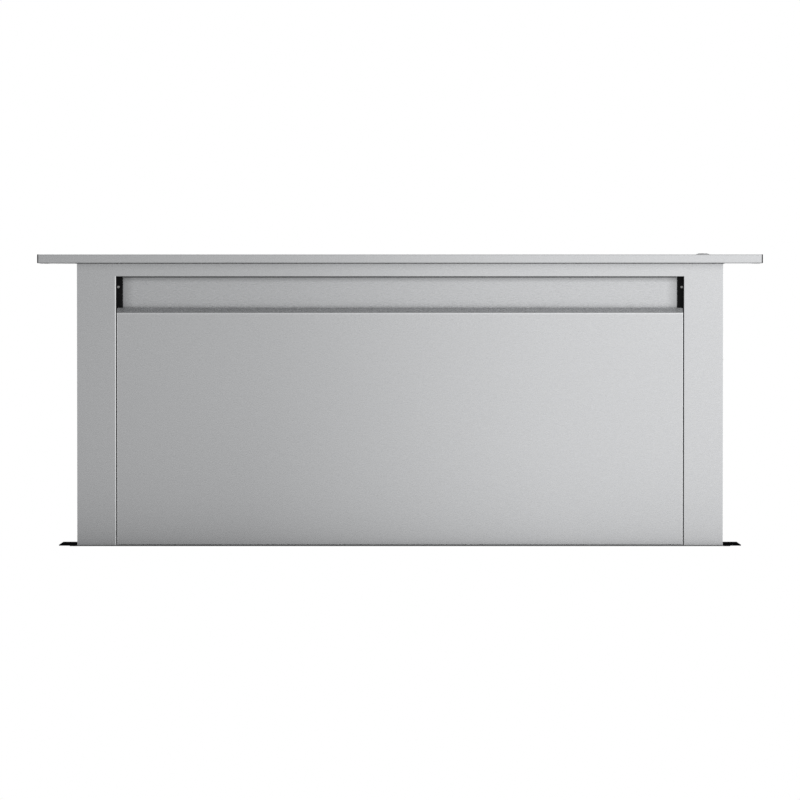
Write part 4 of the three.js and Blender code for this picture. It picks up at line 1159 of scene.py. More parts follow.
@dataclass
class Chimney:
    """Dresses what rises: the ends of the cap, the filters, the slot and the back panel, with dark
    pieces of painted shade round the cap and along the slot.

    Attributes:
        trim_width: Width of the black trim round each end of the cap, a dark piece that paints the
            shaded seam there.
        trim_setback: How far the trim stays inside the cap's end.
        trim_proud: How far it stands out round the cap.
        corner: Radius of its corners.
        frame_width: Width of a filter's frame.
        frame_roll: Width of the slant along the frame's edges.
        pad_lap: How far the pad and the strands reach behind the frame.
        pad_depth: Back and front of the pad, from the filter's middle.
        strand_pitch: Distance between the filter's strands.
        strand_step: Half the length of a diamond in the expanded metal.
        strand_gap: Distance between two strands where they come closest.
        strand_width: Width of a strand.
        strand_depth: Back and front of the strands, from the filter's middle.
        screw_inset: Edge of the back panel to its screws.
        screw_rows: Heights of those screws below the top of the panel.
        hem_gap: Front panel to the hem of the window.
        hem_width: Width of that hem.
        hem_heights: How far the hem stands out at its inner and its outer side.
        shade_strip_gap: Chimney to the dark rubber strip round it under the cap, which paints the
            shade there.
        shade_strip_width: Width of that strip.
        shade_strip_height: Its height.
        strip_inset: End of the baffle to the end of the dark rubber strip of painted shade along
            the slot.
        strip_rise: Lower and upper edge of that strip, from the slot's upper edge.
        strip_depth: Its back and front, from the baffle's face.
    """

    trim_width: float = 1.4 * MM
    trim_setback: float = 0.05 * MM
    trim_proud: float = 0.12 * MM
    corner: float = 1.3 * MM
    frame_width: float = 13 * MM
    frame_roll: float = 1.2 * MM
    pad_lap: float = 1 * MM
    pad_depth: tuple[float, float] = (-1.5 * MM, 1 * MM)
    strand_pitch: float = 5.2 * MM
    strand_step: float = 5 * MM
    strand_gap: float = 0.6 * MM
    strand_width: float = 0.7 * MM
    strand_depth: tuple[float, float] = (1.6 * MM, 2.4 * MM)
    screw_inset: float = 6 * MM
    screw_rows: tuple[float, ...] = (16 * MM, 96 * MM, 176 * MM, 256 * MM, 336 * MM)
    hem_gap: float = 1.25 * MM
    hem_width: float = 1.15 * MM
    hem_heights: tuple[float, float] = (0.02 * MM, 0.25 * MM)
    shade_strip_gap: float = 0.3 * MM
    shade_strip_width: float = 1.4 * MM
    shade_strip_height: float = 0.6 * MM
    strip_inset: float = 5 * MM
    strip_rise: tuple[float, float] = (-1.3 * MM, -0.3 * MM)
    strip_depth: tuple[float, float] = (0.05 * MM, 0.4 * MM)

    def build(self) -> None:
        """Makes every piece of the chimney."""
        for side, end in ENDS:
            self.cap_end_shade_trim(side, end)
            self.filter(end)
        self.back_screws()
        self.window_hems()
        self.shade_strips()

    def cap_end_shade_trim(self, side: int, end: str) -> None:
        """Makes the thin black trim round one end of the cap: a dark piece that paints the shaded
        seam at the cap's end.

        Args:
            side: -1 for the left end, 1 for the right.
            end: Name of the end.
        """
        low, high = span("top_cap")
        depth = high.y - low.y + 2 * self.trim_proud
        height = high.z - low.z + 2 * self.trim_proud
        _, middle, level = centre("top_cap")
        shape = Shape()
        shape.prism(rounded(depth, height, self.corner), -self.trim_width - self.trim_setback,
                    -self.trim_setback, facing((side * high.x, middle, level), (side, 0, 0)))
        shape.place(f"{end}_cap_end_shade_trim", "chimney", Look.PLASTIC, 0.15 * MM)

    def filter(self, end: str) -> None:
        """Makes one grease filter: mitred frame, expanded metal and the pad behind it.

        Args:
            end: Name of the filter's end.
        """
        low, high = span(f"{end}_filter")
        size = (high.x - low.x, high.z - low.z)
        middle = facing(centre(f"{end}_filter"), (0, -1, 0))
        roll, width, half = self.frame_roll, self.frame_width, (high.y - low.y) / 2
        frame_shape = Shape()
        frame_shape.border(size, [(0, -half + roll), (roll, -half), (width - roll, -half),
                                  (width, -half + roll), (width, half - roll),
                                  (width - roll, half), (roll, half), (0, half - roll)], middle)
        border = frame_shape.place(f"{end}_filter_frame", "chimney", Look.MESH, 0.2 * MM)
        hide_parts(f"{end}_filter")
        inner = tuple(length - 2 * (width - self.pad_lap) for length in size)
        back, front = self.pad_depth
        pad = Shape()
        pad.border(inner, [(0, back), (inner[1] / 2, back), (inner[1] / 2, front), (0, front)],
                   middle)
        pad.place(f"{end}_filter_pad", "chimney", Look.PAD)
        self.strands(end, inner, middle)

    def strands(self, end: str, inner: Sequence[float], middle: Matrix) -> None:
        """Makes the expanded metal in front of a filter's pad.

        Args:
            end: Name of the filter's end.
            inner: Width and height of the opening in its frame.
            middle: Frame in the filter's middle, facing the cook.
        """
        shape = Shape()
        count = int(inner[0] / self.strand_step)
        step = inner[0] / count
        rows = int(inner[1] / self.strand_pitch)
        swing = (self.strand_pitch - self.strand_gap) / 2
        across = (-self.strand_width / 2, self.strand_width / 2)
        for row in range(rows):
            level = (row + 0.5) * self.strand_pitch - rows * self.strand_pitch / 2
            line = [(index * step - inner[0] / 2, level + (swing if (index + row) % 2 else -swing))
                    for index in range(count + 1)]
            shape.ribbon(line, across, self.strand_depth, middle)
        shape.place(f"{end}_filter_strands", "chimney", Look.MESH)

    def back_screws(self) -> None:
        """Sets countersunk screws down both sides of the back panel."""
        high = span("chimney_back_panel")[1]
        places = [facing((side * (high.x - self.screw_inset), high.y, high.z - drop), (0, 1, 0))
                  for side in SIDES for drop in self.screw_rows]
        fasten("back_panel_screws", "chimney", Look.PLATED,
               CrossScrew(radius=3 * MM, height=0.25 * MM), places)

    def window_hems(self) -> None:
        """Presses the slanted hems down the sides of the window; the left one is in lighter steel,
        a painted highlight where light from the right falls on it.
        """
        face = span("chimney_front_frame")[0].y
        panel = span("front_panel")
        near = panel[1].x + self.hem_gap
        far = near + self.hem_width
        section = [(near, face + SUNK), (near, face - self.hem_heights[0]),
                   (far, face - self.hem_heights[1]), (far + SUNK, face + SUNK)]
        for name, side, look in (("left_hem", -1, Look.HEM_STEEL_PAINTED_HIGHLIGHT), ("right_hem", 1, Look.STEEL)):
            shape = Shape()
            shape.loft([[(side * across, depth, level) for across, depth in section]
                        for level in (panel[0].z, SLOT_TOP)], Matrix.Identity(4))
            shape.place(name, "chimney", look)

    def shade_strips(self) -> None:
        """Lays dark strips in the rubber finish as painted shade: round the chimney under the cap,
        and along the slot's upper edge.
        """
        width, height = self.shade_strip_width, self.shade_strip_height
        chimney, baffle = span("chimney_front_frame"), span("intake_baffle")
        shape = Shape()
        around = 2 * (self.shade_strip_gap + width)
        outer = (2 * chimney[1].x + around, -2 * chimney[0].y + around)
        shape.border(outer, [(0, 0), (width, 0), (width, height), (0, height)],
                     facing((0, 0, span("top_cap")[0].z), (0, 0, -1)))
        reach = baffle[1].x - self.strip_inset
        low, high = self.strip_rise
        shape.prism([(-reach, low), (reach, low), (reach, high), (-reach, high)],
                    *self.strip_depth, facing((0, baffle[0].y, SLOT_TOP), (0, -1, 0)))
        shape.place("shade_strips", "chimney", Look.RUBBER)


def rounded(width: float, height: float, radius: float, steps: int = 4) -> list[Point]:
    """Gives the outline of a rectangle with round corners.

    Args:
        width: Its size along X.
        height: Its size along Y.
        radius: Radius of the corners.
        steps: Edges in each corner.

    Returns:
        The points, counterclockwise.
    """
    points = []
    for quarter, (side, rise) in enumerate(((1, 1), (-1, 1), (-1, -1), (1, -1))):
        for step in range(steps + 1):
            angle = math.radians(90 * (quarter + step / steps))
            points.append((side * (width / 2 - radius) + radius * math.cos(angle),
                           rise * (height / 2 - radius) + radius * math.sin(angle)))
    return points


# ---- The housing ----------------------------------------------------------------------------


@dataclass
class Housing:
    """Dresses the sheet-metal housing: seams, beads, screws, a blank plate and the legs.

    Attributes:
        seam_width: Width of the folded seam down each corner.
        seam_height: How far it stands out.
        seam_top: Height where the seams end, under the trims.
        seam_foot: Foot of the wall to the seams' lower end.
        screw_first: Height of the lowest screw of a seam.
        screw_pitch: Distance between the screws of a seam.
        screw_count: Screws in a seam.
        screw_turn: How far each of them is turned on from the one below, in radians.
        bead_width: Width of the stiffening beads.
        bead_height: How far they stand out.
        bead_rows: Heights of the beads across the front and the back.
        bead_inset: Seam to the outer end of those beads.
        bead_gap: Middle of the wall to their inner end.
        side_bead: Length and middle height of the bead down each end wall.
        blank_size: Side of the plate over the unused blower opening at the back.
        blank_back: Wall to the back of that plate.
        blank_sheet: Wall to the plate's face.
        blank_field: Side of the field raised in the plate, as a share of the plate's.
        blank_levels: Shares of the field's size, each with its level.
        blank_inset: Edge of the plate to its screws.
        knockout: Radius of the knock-outs.
        knockout_rows: Heights of the knock-outs in each end wall.
        flange_screw: Middle of an end flange to its screws: outwards, and as a share of its depth.
        leg_sheet: Thickness of a leg's sheet.
        wall_bolts: Height of a leg's bolts in the wall, and how far they are from its middle.
        foot_bolts: How far a leg's bolts in the floor are out from the leg's upright.
        foot_depths: Front edge, middle and back edge of the foot to those bolts.
        gusset: Width and height of a leg's gussets.
        gusset_rim: Width of a gusset's blunt corners.
        gusset_depth: Middle of the leg to its gussets.
    """

    seam_width: float = 13 * MM
    seam_height: float = 1.4 * MM
    seam_top: float = 684 * MM
    seam_foot: float = 1 * MM
    screw_first: float = 62 * MM
    screw_pitch: float = 115 * MM
    screw_count: int = 6
    screw_turn: float = 0.4
    bead_width: float = 15 * MM
    bead_height: float = 2.6 * MM
    bead_rows: tuple[float, ...] = (345 * MM, 455 * MM, 565 * MM)
    bead_inset: float = 26 * MM
    bead_gap: float = 16 * MM
    side_bead: tuple[float, float] = (430 * MM, 400 * MM)
    blank_size: float = 210 * MM
    blank_back: float = 0.1 * MM
    blank_sheet: float = 1.3 * MM
    blank_field: float = 0.66
    blank_levels: tuple[tuple[float, float], ...] = ((1.0, 1.2 * MM), (0.97, 2.6 * MM))
    blank_inset: float = 9 * MM
    knockout: float = 11 * MM
    knockout_rows: tuple[float, ...] = (130 * MM, 165 * MM)
    flange_screw: tuple[float, float] = (3.2 * MM, 0.66)
    leg_sheet: float = 2 * MM
    wall_bolts: tuple[float, float] = (74 * MM, 13 * MM)
    foot_bolts: float = 24 * MM
    foot_depths: tuple[float, float, float] = (16 * MM, -70 * MM, -12 * MM)
    gusset: tuple[float, float] = (26 * MM, 30 * MM)
    gusset_rim: float = 3 * MM
    gusset_depth: float = 24 * MM

    def build(self) -> None:
        """Makes every piece of the housing."""
        self.seams()
        self.wall_beads()
        self.side_details()
        self.blank_plate()
        self.flange_screws()
        for side, end in ENDS:
            self.leg_details(side, end)

    @staticmethod
    def faces() -> list[tuple[int, float]]:
        """Gives the direction and the depth of the front wall's and the back wall's face."""
        return [(-1, span("housing_front_wall")[0].y), (1, span("housing_back_wall")[1].y)]

    def seams(self) -> None:
        """Makes the folded seams down the four corners and the screws in them."""
        low, high = span("housing_front_wall")
        foot = low.z + self.seam_foot
        shape = Shape()
        screws = []
        for face, front in self.faces():
            for side in SIDES:
                middle = side * (high.x - self.seam_width / 2)
                at = facing((middle, front, (foot + self.seam_top) / 2), (0, face, 0))
                shape.prism(rounded(self.seam_width, self.seam_top - foot, 1 * MM, 3),
                            -SUNK, self.seam_height, at)
                screws += [facing((middle, front + face * self.seam_height,
                                   self.screw_first + index * self.screw_pitch), (0, face, 0),
                                  index * self.screw_turn)
                           for index in range(self.screw_count)]
        shape.place("corner_seams", "housing", Look.GALVANISED, 0.4 * MM)
        fasten("corner_screws", "housing", Look.PLATED, HexScrew(), screws)

    def wall_beads(self) -> None:
        """Presses the beads across the front and the back."""
        reach = span("housing_front_wall")[1].x - self.seam_width - self.bead_inset
        length = reach - self.bead_gap
        shape = Shape()
        for face, front in self.faces():
            for side in SIDES:
                middle = side * (self.bead_gap + length / 2)
                for height in self.bead_rows:
                    shape.bead(length, self.bead_width, self.bead_height,
                               facing((middle, front, height), (0, face, 0)))
        shape.place("wall_beads", "housing", Look.GALVANISED)

    def side_details(self) -> None:
        """Presses a bead down each end wall and rings its knock-outs."""
        shape = Shape()
        length, level = self.side_bead
        for side in SIDES:
            wall = side * span("right_housing_side")[1].x
            shape.bead(length, self.bead_width, self.bead_height,
                       facing((wall, 0, level), (side, 0, 0), math.pi / 2))
            for height in self.knockout_rows:
                knockout(shape, self.knockout, facing((wall, 0, height), (side, 0, 0)))
        shape.place("side_details", "housing", Look.GALVANISED)

    def blank_plate(self) -> None:
        """Makes the plate that closes the unused blower opening at the back."""
        across, _, level = centre("blower_motor")
        at = facing((across, span("housing_back_wall")[1].y, level), (0, 1, 0))
        plate = Shape()
        plate.prism(rounded(self.blank_size, self.blank_size, 8 * MM), self.blank_back,
                    self.blank_sheet, at)
        inner = self.blank_field * self.blank_size
        plate.loft([[(x * share, y * share, rise) for x, y in rounded(inner, inner, 14 * MM)]
                    for share, rise in self.blank_levels], at)
        plate.place("rear_blank_plate", "housing", Look.GALVANISED, 0.4 * MM)
        inset = self.blank_size / 2 - self.blank_inset
        spots = [(-1, -1), (0, -1), (1, -1), (1, 0), (1, 1), (0, 1), (-1, 1), (-1, 0)]
        places = [at @ Matrix.Translation((x * inset, y * inset, self.blank_sheet))
                  for x, y in spots]
        fasten("blank_plate_screws", "housing", Look.PLATED, HexScrew(), places)

    def flange_screws(self) -> None:
        """Sets flat black screws in the lips of the end flanges."""
        places = []
        outward, spread = self.flange_screw
        for side, end in ENDS:
            high = span(f"{end}_end_flange")[1]
            middle = centre(f"{end}_end_flange").x + side * outward
            places += [facing((middle, rise * spread * high.y, high.z), (0, 0, 1), 0.3 * rise)
                       for rise in SIDES]
        fasten("flange_screws", "housing", Look.BLACK,
               CrossScrew(radius=3 * MM, height=0.5 * MM), places)

    def leg_details(self, side: int, end: str) -> None:
        """Bolts a leg to the housing and to the cabinet floor, with a gusset in its corner.

        Args:
            side: -1 for the left leg, 1 for the right.
            end: Name of the leg's end.
        """
        low, high = span(f"{end}_leg")
        near = min(abs(low.x), abs(high.x))
        upright = side * (near + self.leg_sheet)
        level, spread = self.wall_bolts
        bolts = [facing((upright, depth, level), (side, 0, 0), 0.3) for depth in (-spread, spread)]
        front, middle, back = self.foot_depths
        bolts += [facing((side * (near + self.foot_bolts), depth, self.leg_sheet), (0, 0, 1), 0.2)
                  for depth in (low.y + front, middle, high.y + back)]
        fasten(f"{end}_leg_bolts", "housing", Look.PLATED,
               HexScrew(washer=7 * MM, corner=5.2 * MM, height=5.4 * MM), bolts)
        width, height = self.gusset
        outline = [(0, 0), (side * width, 0), (side * width, self.gusset_rim),
                   (side * self.gusset_rim, height), (0, height)]
        gussets = Shape()
        for rise in SIDES:
            gussets.prism(outline, -0.8 * MM, 0.8 * MM, upright_frame(
                (upright, rise * self.gusset_depth, self.leg_sheet)))
        gussets.place(f"{end}_leg_gussets", "housing", Look.GALVANISED, 0.25 * MM)


def knockout(shape: Shape, radius: float, at: Matrix) -> None:
    """Adds the rings of a knock-out to a sheet.

    Args:
        shape: Shape that gets it.
        radius: Radius of the knock-out.
        at: Frame in its middle, on the sheet.
    """
    lift = 0.5 * MM
    groove = 0.7 * MM
    shape.turned([(0, -SUNK), (radius, -SUNK), (radius, 0.6 * lift), (radius - lift, lift),
                  (0, lift)], at, 28)
    shape.turned([(radius + groove, -SUNK), (radius + groove, lift),
                  (radius + 2.4 * groove, lift), (radius + 3 * groove, -SUNK)], at, 28, ring=True)


# ---- The blower -----------------------------------------------------------------------------


@dataclass
class Blower:
    """Dresses the blower: rolled seams, plate edges, the motor, the collar and the damper.

    Attributes:
        tongue: Radius of the spiral where it starts.
        start: Angle where the spiral starts.
        end: Angle where the spiral ends.
        steps: Edges of the spiral.
        flange: Both offsets of the volute's flange from its wall, and its two levels.
        rim: The same of the folded rim that the flange starts from.
        inlet: Radius of the ring pressed round the front plate's inlet.
        tab_pitch: Angle between the tabs bent over the front plate.
        tab: Width and length of a tab.
        tab_inset: Spiral to the middle of a tab.
        plate_screws: Edge of the front plate to its screws.
        seat_gap: Front plate to the motor's flange.
        can: Radius of the motor's can.
        vents: Openings round the motor.
        spokes: Spokes in the motor's end.
        ears: Radius of the circle of screws in the motor's flange.
        bolts: Radius of the circle of screws in the motor's end, and their level.
        duct: Radius of the duct collar.
        bead_setbacks: End of the collar to its beads.
        rivet_inset: Edge of the collar's plate to its rivets.
        rivet_face: Outlet of the volute to the face of that plate.
        straps: Middle of the damper's shaft to its straps.
    """

    tongue: float = 92 * MM
    start: float = math.radians(190)
    end: float = math.radians(450)
    steps: int = 52
    flange: tuple[float, ...] = (0.2 * MM, 5 * MM, SUNK, 1.3 * MM)
    rim: tuple[float, ...] = (-SUNK, 1.1 * MM, SUNK, 3 * MM)
    inlet: float = 70 * MM
    tab_pitch: float = math.radians(26)
    tab: tuple[float, float] = (7 * MM, 9 * MM)
    tab_inset: float = 3.4 * MM
    plate_screws: float = 3.8 * MM
    seat_gap: float = 0.3 * MM
    can: float = 45 * MM
    vents: int = 12
    spokes: int = 9
    ears: float = 53 * MM
    bolts: tuple[float, float] = (39.5 * MM, 55.3 * MM)
    duct: float = 76.2 * MM
    bead_setbacks: tuple[float, float] = (9 * MM, 46 * MM)
    rivet_inset: float = 8 * MM
    rivet_face: float = 1.8 * MM
    straps: float = 26 * MM

    def build(self) -> None:
        """Makes every piece of the blower."""
        self.volute_edges()
        self.front_plate()
        self.motor()
        self.collar()
        self.damper()

    @property
    def middle(self) -> tuple[float, float]:
        """Gives the wheel's axis, as X and Z."""
        axis = centre("blower_motor")
        return axis.x, axis.z

    def reach(self, angle: float) -> float:
        """Gives the outer radius of the spiral.

        Args:
            angle: Angle round the wheel's axis.

        Returns:
            The radius.
        """
        ceiling = span("blower_volute")[1].z - self.middle[1]
        share = (angle - self.start) / (self.end - self.start)
        return self.tongue + (ceiling - self.tongue) * share

    def spiral(self) -> list[Point]:
        """Gives the line of the volute's wall, from the outlet's floor to its ceiling.

        Returns:
            The points of the line, around the wheel's axis.
        """
        outlet = span("blower_volute")[0].x - self.middle[0]
        line = [(outlet, self.reach(self.start) * math.sin(self.start))]
        for step in range(self.steps + 1):
            angle = self.start + (self.end - self.start) * step / self.steps
            line.append((self.reach(angle) * math.cos(angle), self.reach(angle) * math.sin(angle)))
        line.append((outlet, self.reach(self.end)))
        return line

    def plane(self, depth: float) -> Matrix:
        """Gives a frame in the middle of the wheel whose Z axis points to the cook."""
        return upright_frame((self.middle[0], depth, self.middle[1]))

    def volute_edges(self) -> None:
        """Makes the flange that the volute's wall has along both side plates."""
        low, high = span("blower_volute")
        line = self.spiral()
        shape = Shape()
        for depth, inward in ((low.y, -1), (high.y, 1)):
            for near, far, start, end in (self.flange, self.rim):
                shape.ribbon(line, (near, far), (start * inward, end * inward), self.plane(depth))
        shape.place("volute_flanges", "housing", Look.GALVANISED, 0.2 * MM)

    def front_plate(self) -> None:
        """Makes the hem, the tabs, the ring and the screws of the front plate."""
        low, high = span("blower_front_plate")
        across, _, level = centre("blower_front_plate")
        size = (high.x - low.x, high.z - low.z)
        plane = self.plane(low.y)
        hem = 0.9 * MM
        shape = Shape()
        shape.border(size, [(0, -SUNK), (0, hem), (7 * MM, hem), (7.6 * MM, -SUNK)],
                     facing((across, low.y, level), (0, -1, 0)))
        shape.turned([(self.inlet + out * MM, rise * MM) for out, rise in (
            (-5, -0.1), (-3, 1.3), (0, 1.8), (3, 1.3), (5, -0.1))], plane, 72, ring=True)
        angle = self.start + self.tab_pitch / 2
        while angle < self.end:
            at = plane @ Matrix.Rotation(angle, 4, "Z") @ Matrix.Translation(
                (self.reach(angle) - self.tab_inset, 0, 0))
            shape.prism(rounded(*self.tab, 1.2 * MM, 3), -SUNK, 1.3 * MM, at)
            angle += self.tab_pitch
        shape.place("front_plate_edges", "housing", Look.GALVANISED, 0.25 * MM)
        half, top = size[0] / 2, size[1] / 2
        spots = [(side * (half - self.plate_screws), rise * top * 0.62)
                 for side in SIDES for rise in (-1, 0, 1)]
        spots += [(side * half / 2, rise * (top - self.plate_screws)) for side, rise in CORNERS]
        places = [facing((across + x, low.y - hem, level + z), (0, -1, 0), x * 90)
                  for x, z in spots]
        fasten("front_plate_screws", "housing", Look.PLATED,
               HexScrew(washer=4.4 * MM, corner=3.6 * MM, height=3.6 * MM), places)

    def motor(self) -> None:
        """Makes the motor: lobed flange, can with a seam and vents, spoked end and hub."""
        low, high = span("blower_motor")
        seat = span("blower_front_plate")[0].y - self.seat_gap
        flange = (high.x - low.x) / 2
        can = self.can
        plane = self.plane(seat)

        def lobed(angle: float) -> float:
            """Gives the flange's edge: four ears for its screws."""
            ear = max(math.cos(4 * angle), 0.0) ** 0.6
            return can + 2 * MM + (flange - can - 2 * MM) * ear

        def vented(angle: float) -> float:
            """Gives the can's wall where the vents go round it."""
            part = (angle * self.vents / math.tau) % 1.0
            return can - 4 * MM if part < 0.55 else can

        def circled(count: int, turn: float, radius: float, level: float) -> list[Matrix]:
            """Gives frames in a circle round the motor's axis, each turned on by one share."""
            return [plane @ Matrix.Rotation(math.tau * (index + turn) / count, 4, "Z")
                    @ Matrix.Translation((radius, 0, level)) for index in range(count)]

        end = (seat - low.y) / MM
        shaft = (high.y - seat) / MM
        wall = can / MM
        body = Shape()
        body.turned(measured((0, -shaft), (3.4, -shaft), (4, -shaft + 0.6), (4, 0), (lobed, 0),
                             (lobed, 3), (wall, 3.4), (wall, 14), (vented, 14.01),
                             (vented, 25), (wall, 25.01), (wall, 30), (46.3, 30.6),
                             (46.3, 34), (wall, 34.6), (wall, 50), (43.5, 53.6),
                             (40, 55.4), (36, 56), (35.5, 50), (17.5, 50), (17, 56.4),
                             (13, 57.5), (12, end), (0, end)), plane, 144)
        spoke = measured((16.5, -1.7), (36, -2.3), (36, 2.3), (16.5, 1.7))
        for at in circled(self.spokes, 0, 0, 0):
            body.prism(spoke, 49 * MM, 55.6 * MM, at)
        motor = body.place("motor_body", "housing", Look.MOTOR, 0.2 * MM)
        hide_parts("blower_motor")
        fasten("motor_screws", "housing", Look.PLATED,
               HexScrew(washer=5 * MM, corner=3.8 * MM, height=3.8 * MM),
               circled(4, 0, self.ears, 3 * MM) + circled(4, 0.5, *self.bolts))

    def collar(self) -> None:
        """Makes the beads round the duct collar, and the rivets in its plate."""
        low, high = span("duct_collar")
        centre_line = centre("damper_flap")
        shape = Shape()
        for setback in self.bead_setbacks:
            at = facing((low.x + setback, centre_line.y, centre_line.z), (-1, 0, 0))
            shape.turned([(self.duct + out * MM, along * MM) for out, along in (
                (-0.1, -3), (1.1, -1.8), (1.6, 0), (1.1, 1.8), (-0.1, 3))], at, 72, ring=True)
        shape.place("collar_beads", "housing", Look.GALVANISED)
        plate = span("blower_volute")[0].x - self.rivet_face
        half = (high.y - low.y) / 2 - self.rivet_inset
        places = [facing((plate, centre_line.y + side * half, centre_line.z + rise * half),
                         (-1, 0, 0)) for side, rise in CORNERS]
        fasten("collar_rivets", "housing", Look.PLATED, Rivet(), places)

    def damper(self) -> None:
        """Makes the ring pressed into the damper, and the straps that hold its shaft."""
        flap = centre("damper_flap")
        shape = Shape()
        straps = Shape()
        for face in SIDES:
            shape.turned(measured((50, 0.5), (52, 1.5), (55, 1.5), (57, 0.5)),
                         facing(flap, (face, 0, 0)), 60, ring=True)
            for rise in SIDES:
                place = (flap.x + face * 0.5 * MM, flap.y + rise * self.straps, flap.z)
                straps.prism(rounded(3.4 * MM, 22 * MM, 1.2 * MM), -6 * MM, 6 * MM,
                             Matrix.Translation(place))
        shape.place("damper_ring", "damper", Look.PLATED)
        straps.place("damper_straps", "damper", Look.PLATED, 0.3 * MM)


# ---- The junction box ------------------------------------------------------------------------


@dataclass
class SupplyBox:
    """Dresses the junction box: cover, knock-outs and the cable gland.

    Attributes:
        field_inset: How much smaller than the cover its raised field is, across and upwards.
        screw_inset: Edge of the cover to its screws.
        knockout: Radius of the knock-outs.
        side_knockout: Foot and top of the box to the knock-outs in its side.
        end_knockout: Sides of the box to the knock-outs in its foot and its top.
        nut: Radius to the corners of the gland's nut.
        ribs: Ribs round the gland's dome.
    """

    field_inset: tuple[float, float] = (30 * MM, 14 * MM)
    screw_inset: float = 8 * MM
    knockout: float = 9 * MM
    side_knockout: float = 24 * MM
    end_knockout: float = 28 * MM
    nut: float = 12 * MM
    ribs: int = 18

    def build(self) -> None:
        """Makes every piece of the box."""
        self.cover()
        self.knockouts()
        self.gland()

    def cover(self) -> None:
        """Makes the raised middle of the cover and its screws."""
        low, high = span("junction_box_cover")
        across, _, level = centre("junction_box_cover")
        at = facing((across, low.y, level), (0, -1, 0))
        width, height = high.x - low.x, high.z - low.z
        field = rounded(width - self.field_inset[0], height - self.field_inset[1], 7 * MM)
        shape = Shape()
        shape.loft([[(x * share, y * share, rise) for x, y in field]
                    for share, rise in ((1.0, -SUNK), (1.0, 0.2 * MM), (0.955, 1.7 * MM))], at)
        shape.place("box_cover_field", "housing", Look.GALVANISED, 0.3 * MM)
        places = [at @ Matrix.Translation((side * (width / 2 - self.screw_inset),
                                           rise * (height / 2 - self.screw_inset), 0))
                  for side, rise in CORNERS]
        fasten("box_cover_screws", "housing", Look.PLATED, CrossScrew(), places)

    def knockouts(self) -> None:
        """Rings the knock-outs in the right side, the top and the bottom of the box."""
        low, high = span("junction_box")
        depth = centre("junction_box").y
        places = [facing((high.x, depth, height), (1, 0, 0))
                  for height in (low.z + self.side_knockout, high.z - self.side_knockout)]
        places += [facing((across, depth, level), (0, 0, rise))
                   for level, rise in ((low.z, -1), (high.z, 1))
                   for across in (low.x + self.end_knockout, high.x - self.end_knockout)]
        shape = Shape()
        for at in places:
            knockout(shape, self.knockout, at)
        shape.place("box_knockouts", "housing", Look.GALVANISED)

    def gland(self) -> None:
        """Makes the gland: threaded body, hexagon nut, ribbed dome and rubber bush."""
        low, high = span("cable_gland")
        _, middle, level = centre("cable_gland")
        wall = span("junction_box")[0].x
        at = facing((wall, middle, level), (-1, 0, 0))
        inside, reach, nut = (wall - high.x) / MM, (wall - low.x) / MM, self.nut / MM

        def ribbed(angle: float) -> float:
            """Gives the dome's ribs."""
            return 0.88 * self.nut + 0.35 * MM * math.cos(self.ribs * angle)

        shape = Shape()
        shape.turned(measured((4.6, inside), (8.6, inside), (8.6, 1), (4.6, 1)), at, 32, ring=True)
        shape.turned(measured((5, 0.4), (nut, 0.4), (nut, 5), (0.9 * nut, 5.8), (5, 5.8)), at, 6,
                     ring=True)
        shape.turned(measured((5, 5.6), (ribbed, 5.8), (ribbed, 12), (0.8 * nut, 15),
                              (0.56 * nut, reach - 1), (0.5 * nut, reach), (5, reach)), at, 72,
                     ring=True)
        gland = shape.place("gland_body", "housing", Look.PLASTIC)
        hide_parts("cable_gland")
        bush = Shape()
        bush.turned(measured((3.2, 4), (5.2, 4), (5.2, reach - 0.2), (4.4, reach - 0.05),
                             (3.2, reach - 0.8)), at, 32, ring=True)
        bush.place("gland_bush", "housing", Look.RUBBER)


# ---- The lift drive --------------------------------------------------------------------------


@dataclass
class LiftDrive:
    """Dresses the lead screws with their threads.

    Attributes:
        crest: Radius of the thread's crest.
        root: Radius of its root.
        lead: Height that the thread climbs in one turn.
        starts: Threads side by side.
        journal: Radius of the thinner foot of the screw.
        step: Height between two rows of points.
    """

    crest: float = 8 * MM
    root: float = 6.9 * MM
    lead: float = 20 * MM
    starts: int = 4
    journal: float = 5 * MM
    step: float = 1.25 * MM

    def build(self) -> None:
        """Makes both lead screws."""
        for _, end in ENDS:
            self.lead_screw(end)

    def lead_screw(self, end: str) -> None:
        """Makes one threaded lead screw.

        Args:
            end: Name of its end.
        """
        low, high = span(f"{end}_lead_screw")
        across, depth, _ = centre(f"{end}_lead_screw")
        shoulder = span(f"{end}_screw_bearing")[1].z + 0.3 * MM - low.z
        length = high.z - low.z
        first, last = shoulder + 2 * MM, length - 1 * MM

        def thread(height: float) -> Callable[[float], float]:
            """Gives the outline of the thread.

            Args:
                height: Height above the screw's foot.

            Returns:
                The radius by the angle.
            """
            def outline(angle: float) -> float:
                """Gives a flat crest, a flat root and slopes between them.

                Args:
                    angle: Angle round the screw.

                Returns:
                    The radius.
                """
                phase = (self.starts * (angle / math.tau - height / self.lead)) % 1.0
                slope = min(max(1.5 - 6 * abs(phase - 0.5), 0.0), 1.0)
                return self.root + (self.crest - self.root) * slope
            return outline

        rows = int((last - first) / self.step)
        profile: list[tuple[Radius, float]] = [
            (0, 0), (0.85 * self.journal, 0), (self.journal, 0.8 * MM), (self.journal, shoulder),
            (self.root, shoulder), (self.root, first)]
        profile += [(thread(first + index * self.step), first + index * self.step)
                    for index in range(rows + 1)]
        profile += [(self.root, last), (0.85 * self.root, length), (0, length)]
        shape = Shape()
        shape.turned(profile, Matrix.Translation((across, depth, low.z)))
        screw = shape.place(f"{end}_screw_thread", f"{end}_screw", Look.GROUND)
        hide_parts(f"{end}_lead_screw")


# ---- Dressing of the solids --------------------------------------------------------------------


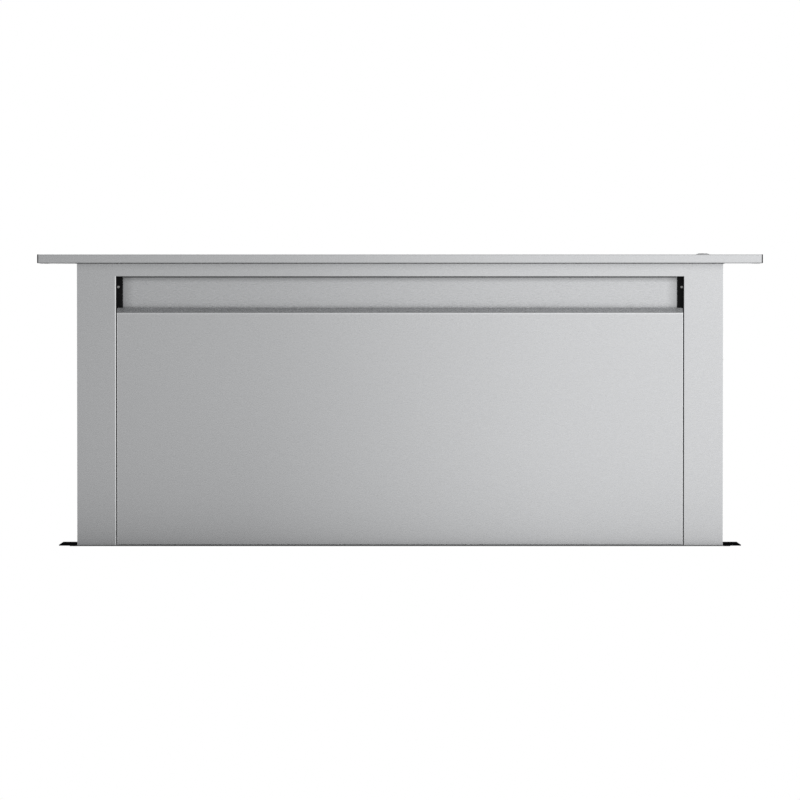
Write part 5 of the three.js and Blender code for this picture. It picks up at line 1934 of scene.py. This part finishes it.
def both(name: str) -> tuple[str, str]:
    """Gives the names of a left and a right piece."""
    return f"left_{name}", f"right_{name}"


LOOKS: dict[Look, tuple[str, ...]] = {
    Look.STEEL: ("top_cap", "chimney_back_panel"),
    Look.PANEL_STEEL_PAINTED_HIGHLIGHT: ("front_panel",),
    Look.FRAME_STEEL_PAINTED_SHADE: ("chimney_front_frame",),
    Look.SLOT_STEEL_PAINTED_SHADE: ("intake_baffle",),
    Look.FOOT_STEEL_PAINTED_SHADE: ("front_trim", "rear_trim"),
    Look.BUTTON: ("control_button",),
    Look.GALVANISED: ("chimney_top_plate", "chimney_bottom_frame", "filter_centre_post",
                      "housing_front_wall", "housing_back_wall", *both("housing_side"),
                      "base_plate", "plenum_floor", *both("leg"), "blower_back_plate",
                      "blower_volute", "blower_front_plate", "impeller", "duct_collar",
                      "junction_box", "junction_box_cover"),
    Look.BEZEL: ("button_bezel",),
    Look.PLATED_PAINTED_SHADE: both("guide_screw"),
    Look.PLATED: ("striker_screw", "damper_flap"),
    Look.GROUND: (*both("lead_screw"), *both("screw_bearing")),
    Look.MESH: both("filter"),
    Look.BRONZE: both("lift_nut"),
    Look.BLACK: both("end_flange"),
    Look.PLASTIC: (*both("filter_guide"), *both("panel_magnet"), "button_switch",
                   *both("pulley"), "motor_pulley", "down_limit_switch", "up_limit_switch",
                   "cable_gland"),
    Look.NYLON: both("glide"),
    Look.RUBBER: ("front_seal", "rear_seal", "drive_belt"),
    Look.MOTOR: ("lift_motor", "blower_motor"),
}


EDGES: dict[str, float] = {"chimney_front_frame": 0.9 * MM, "front_panel": 0.9 * MM}
PLAIN_EDGE = 0.3 * MM


def corners(box: tuple[Vector, Vector]) -> list[list[float]]:
    """Turns a box into plain lists of numbers."""
    return [[round(value, 6) for value in corner] for corner in box]


def main() -> None:
    """Builds the studio and every dressed piece."""
    logging.basicConfig(level=logging.INFO, format="%(message)s")
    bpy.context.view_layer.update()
    bpy.context.scene.view_settings.view_transform = "Standard"
    Studio().build()
    for look, nodes in LOOKS.items():
        for node in nodes:
            dress(node, look, EDGES.get(node, PLAIN_EDGE))
    for assembly in (Chimney(), Housing(), Blower(), SupplyBox(), LiftDrive()):
        assembly.build()


if __name__ == "__main__":
    main()
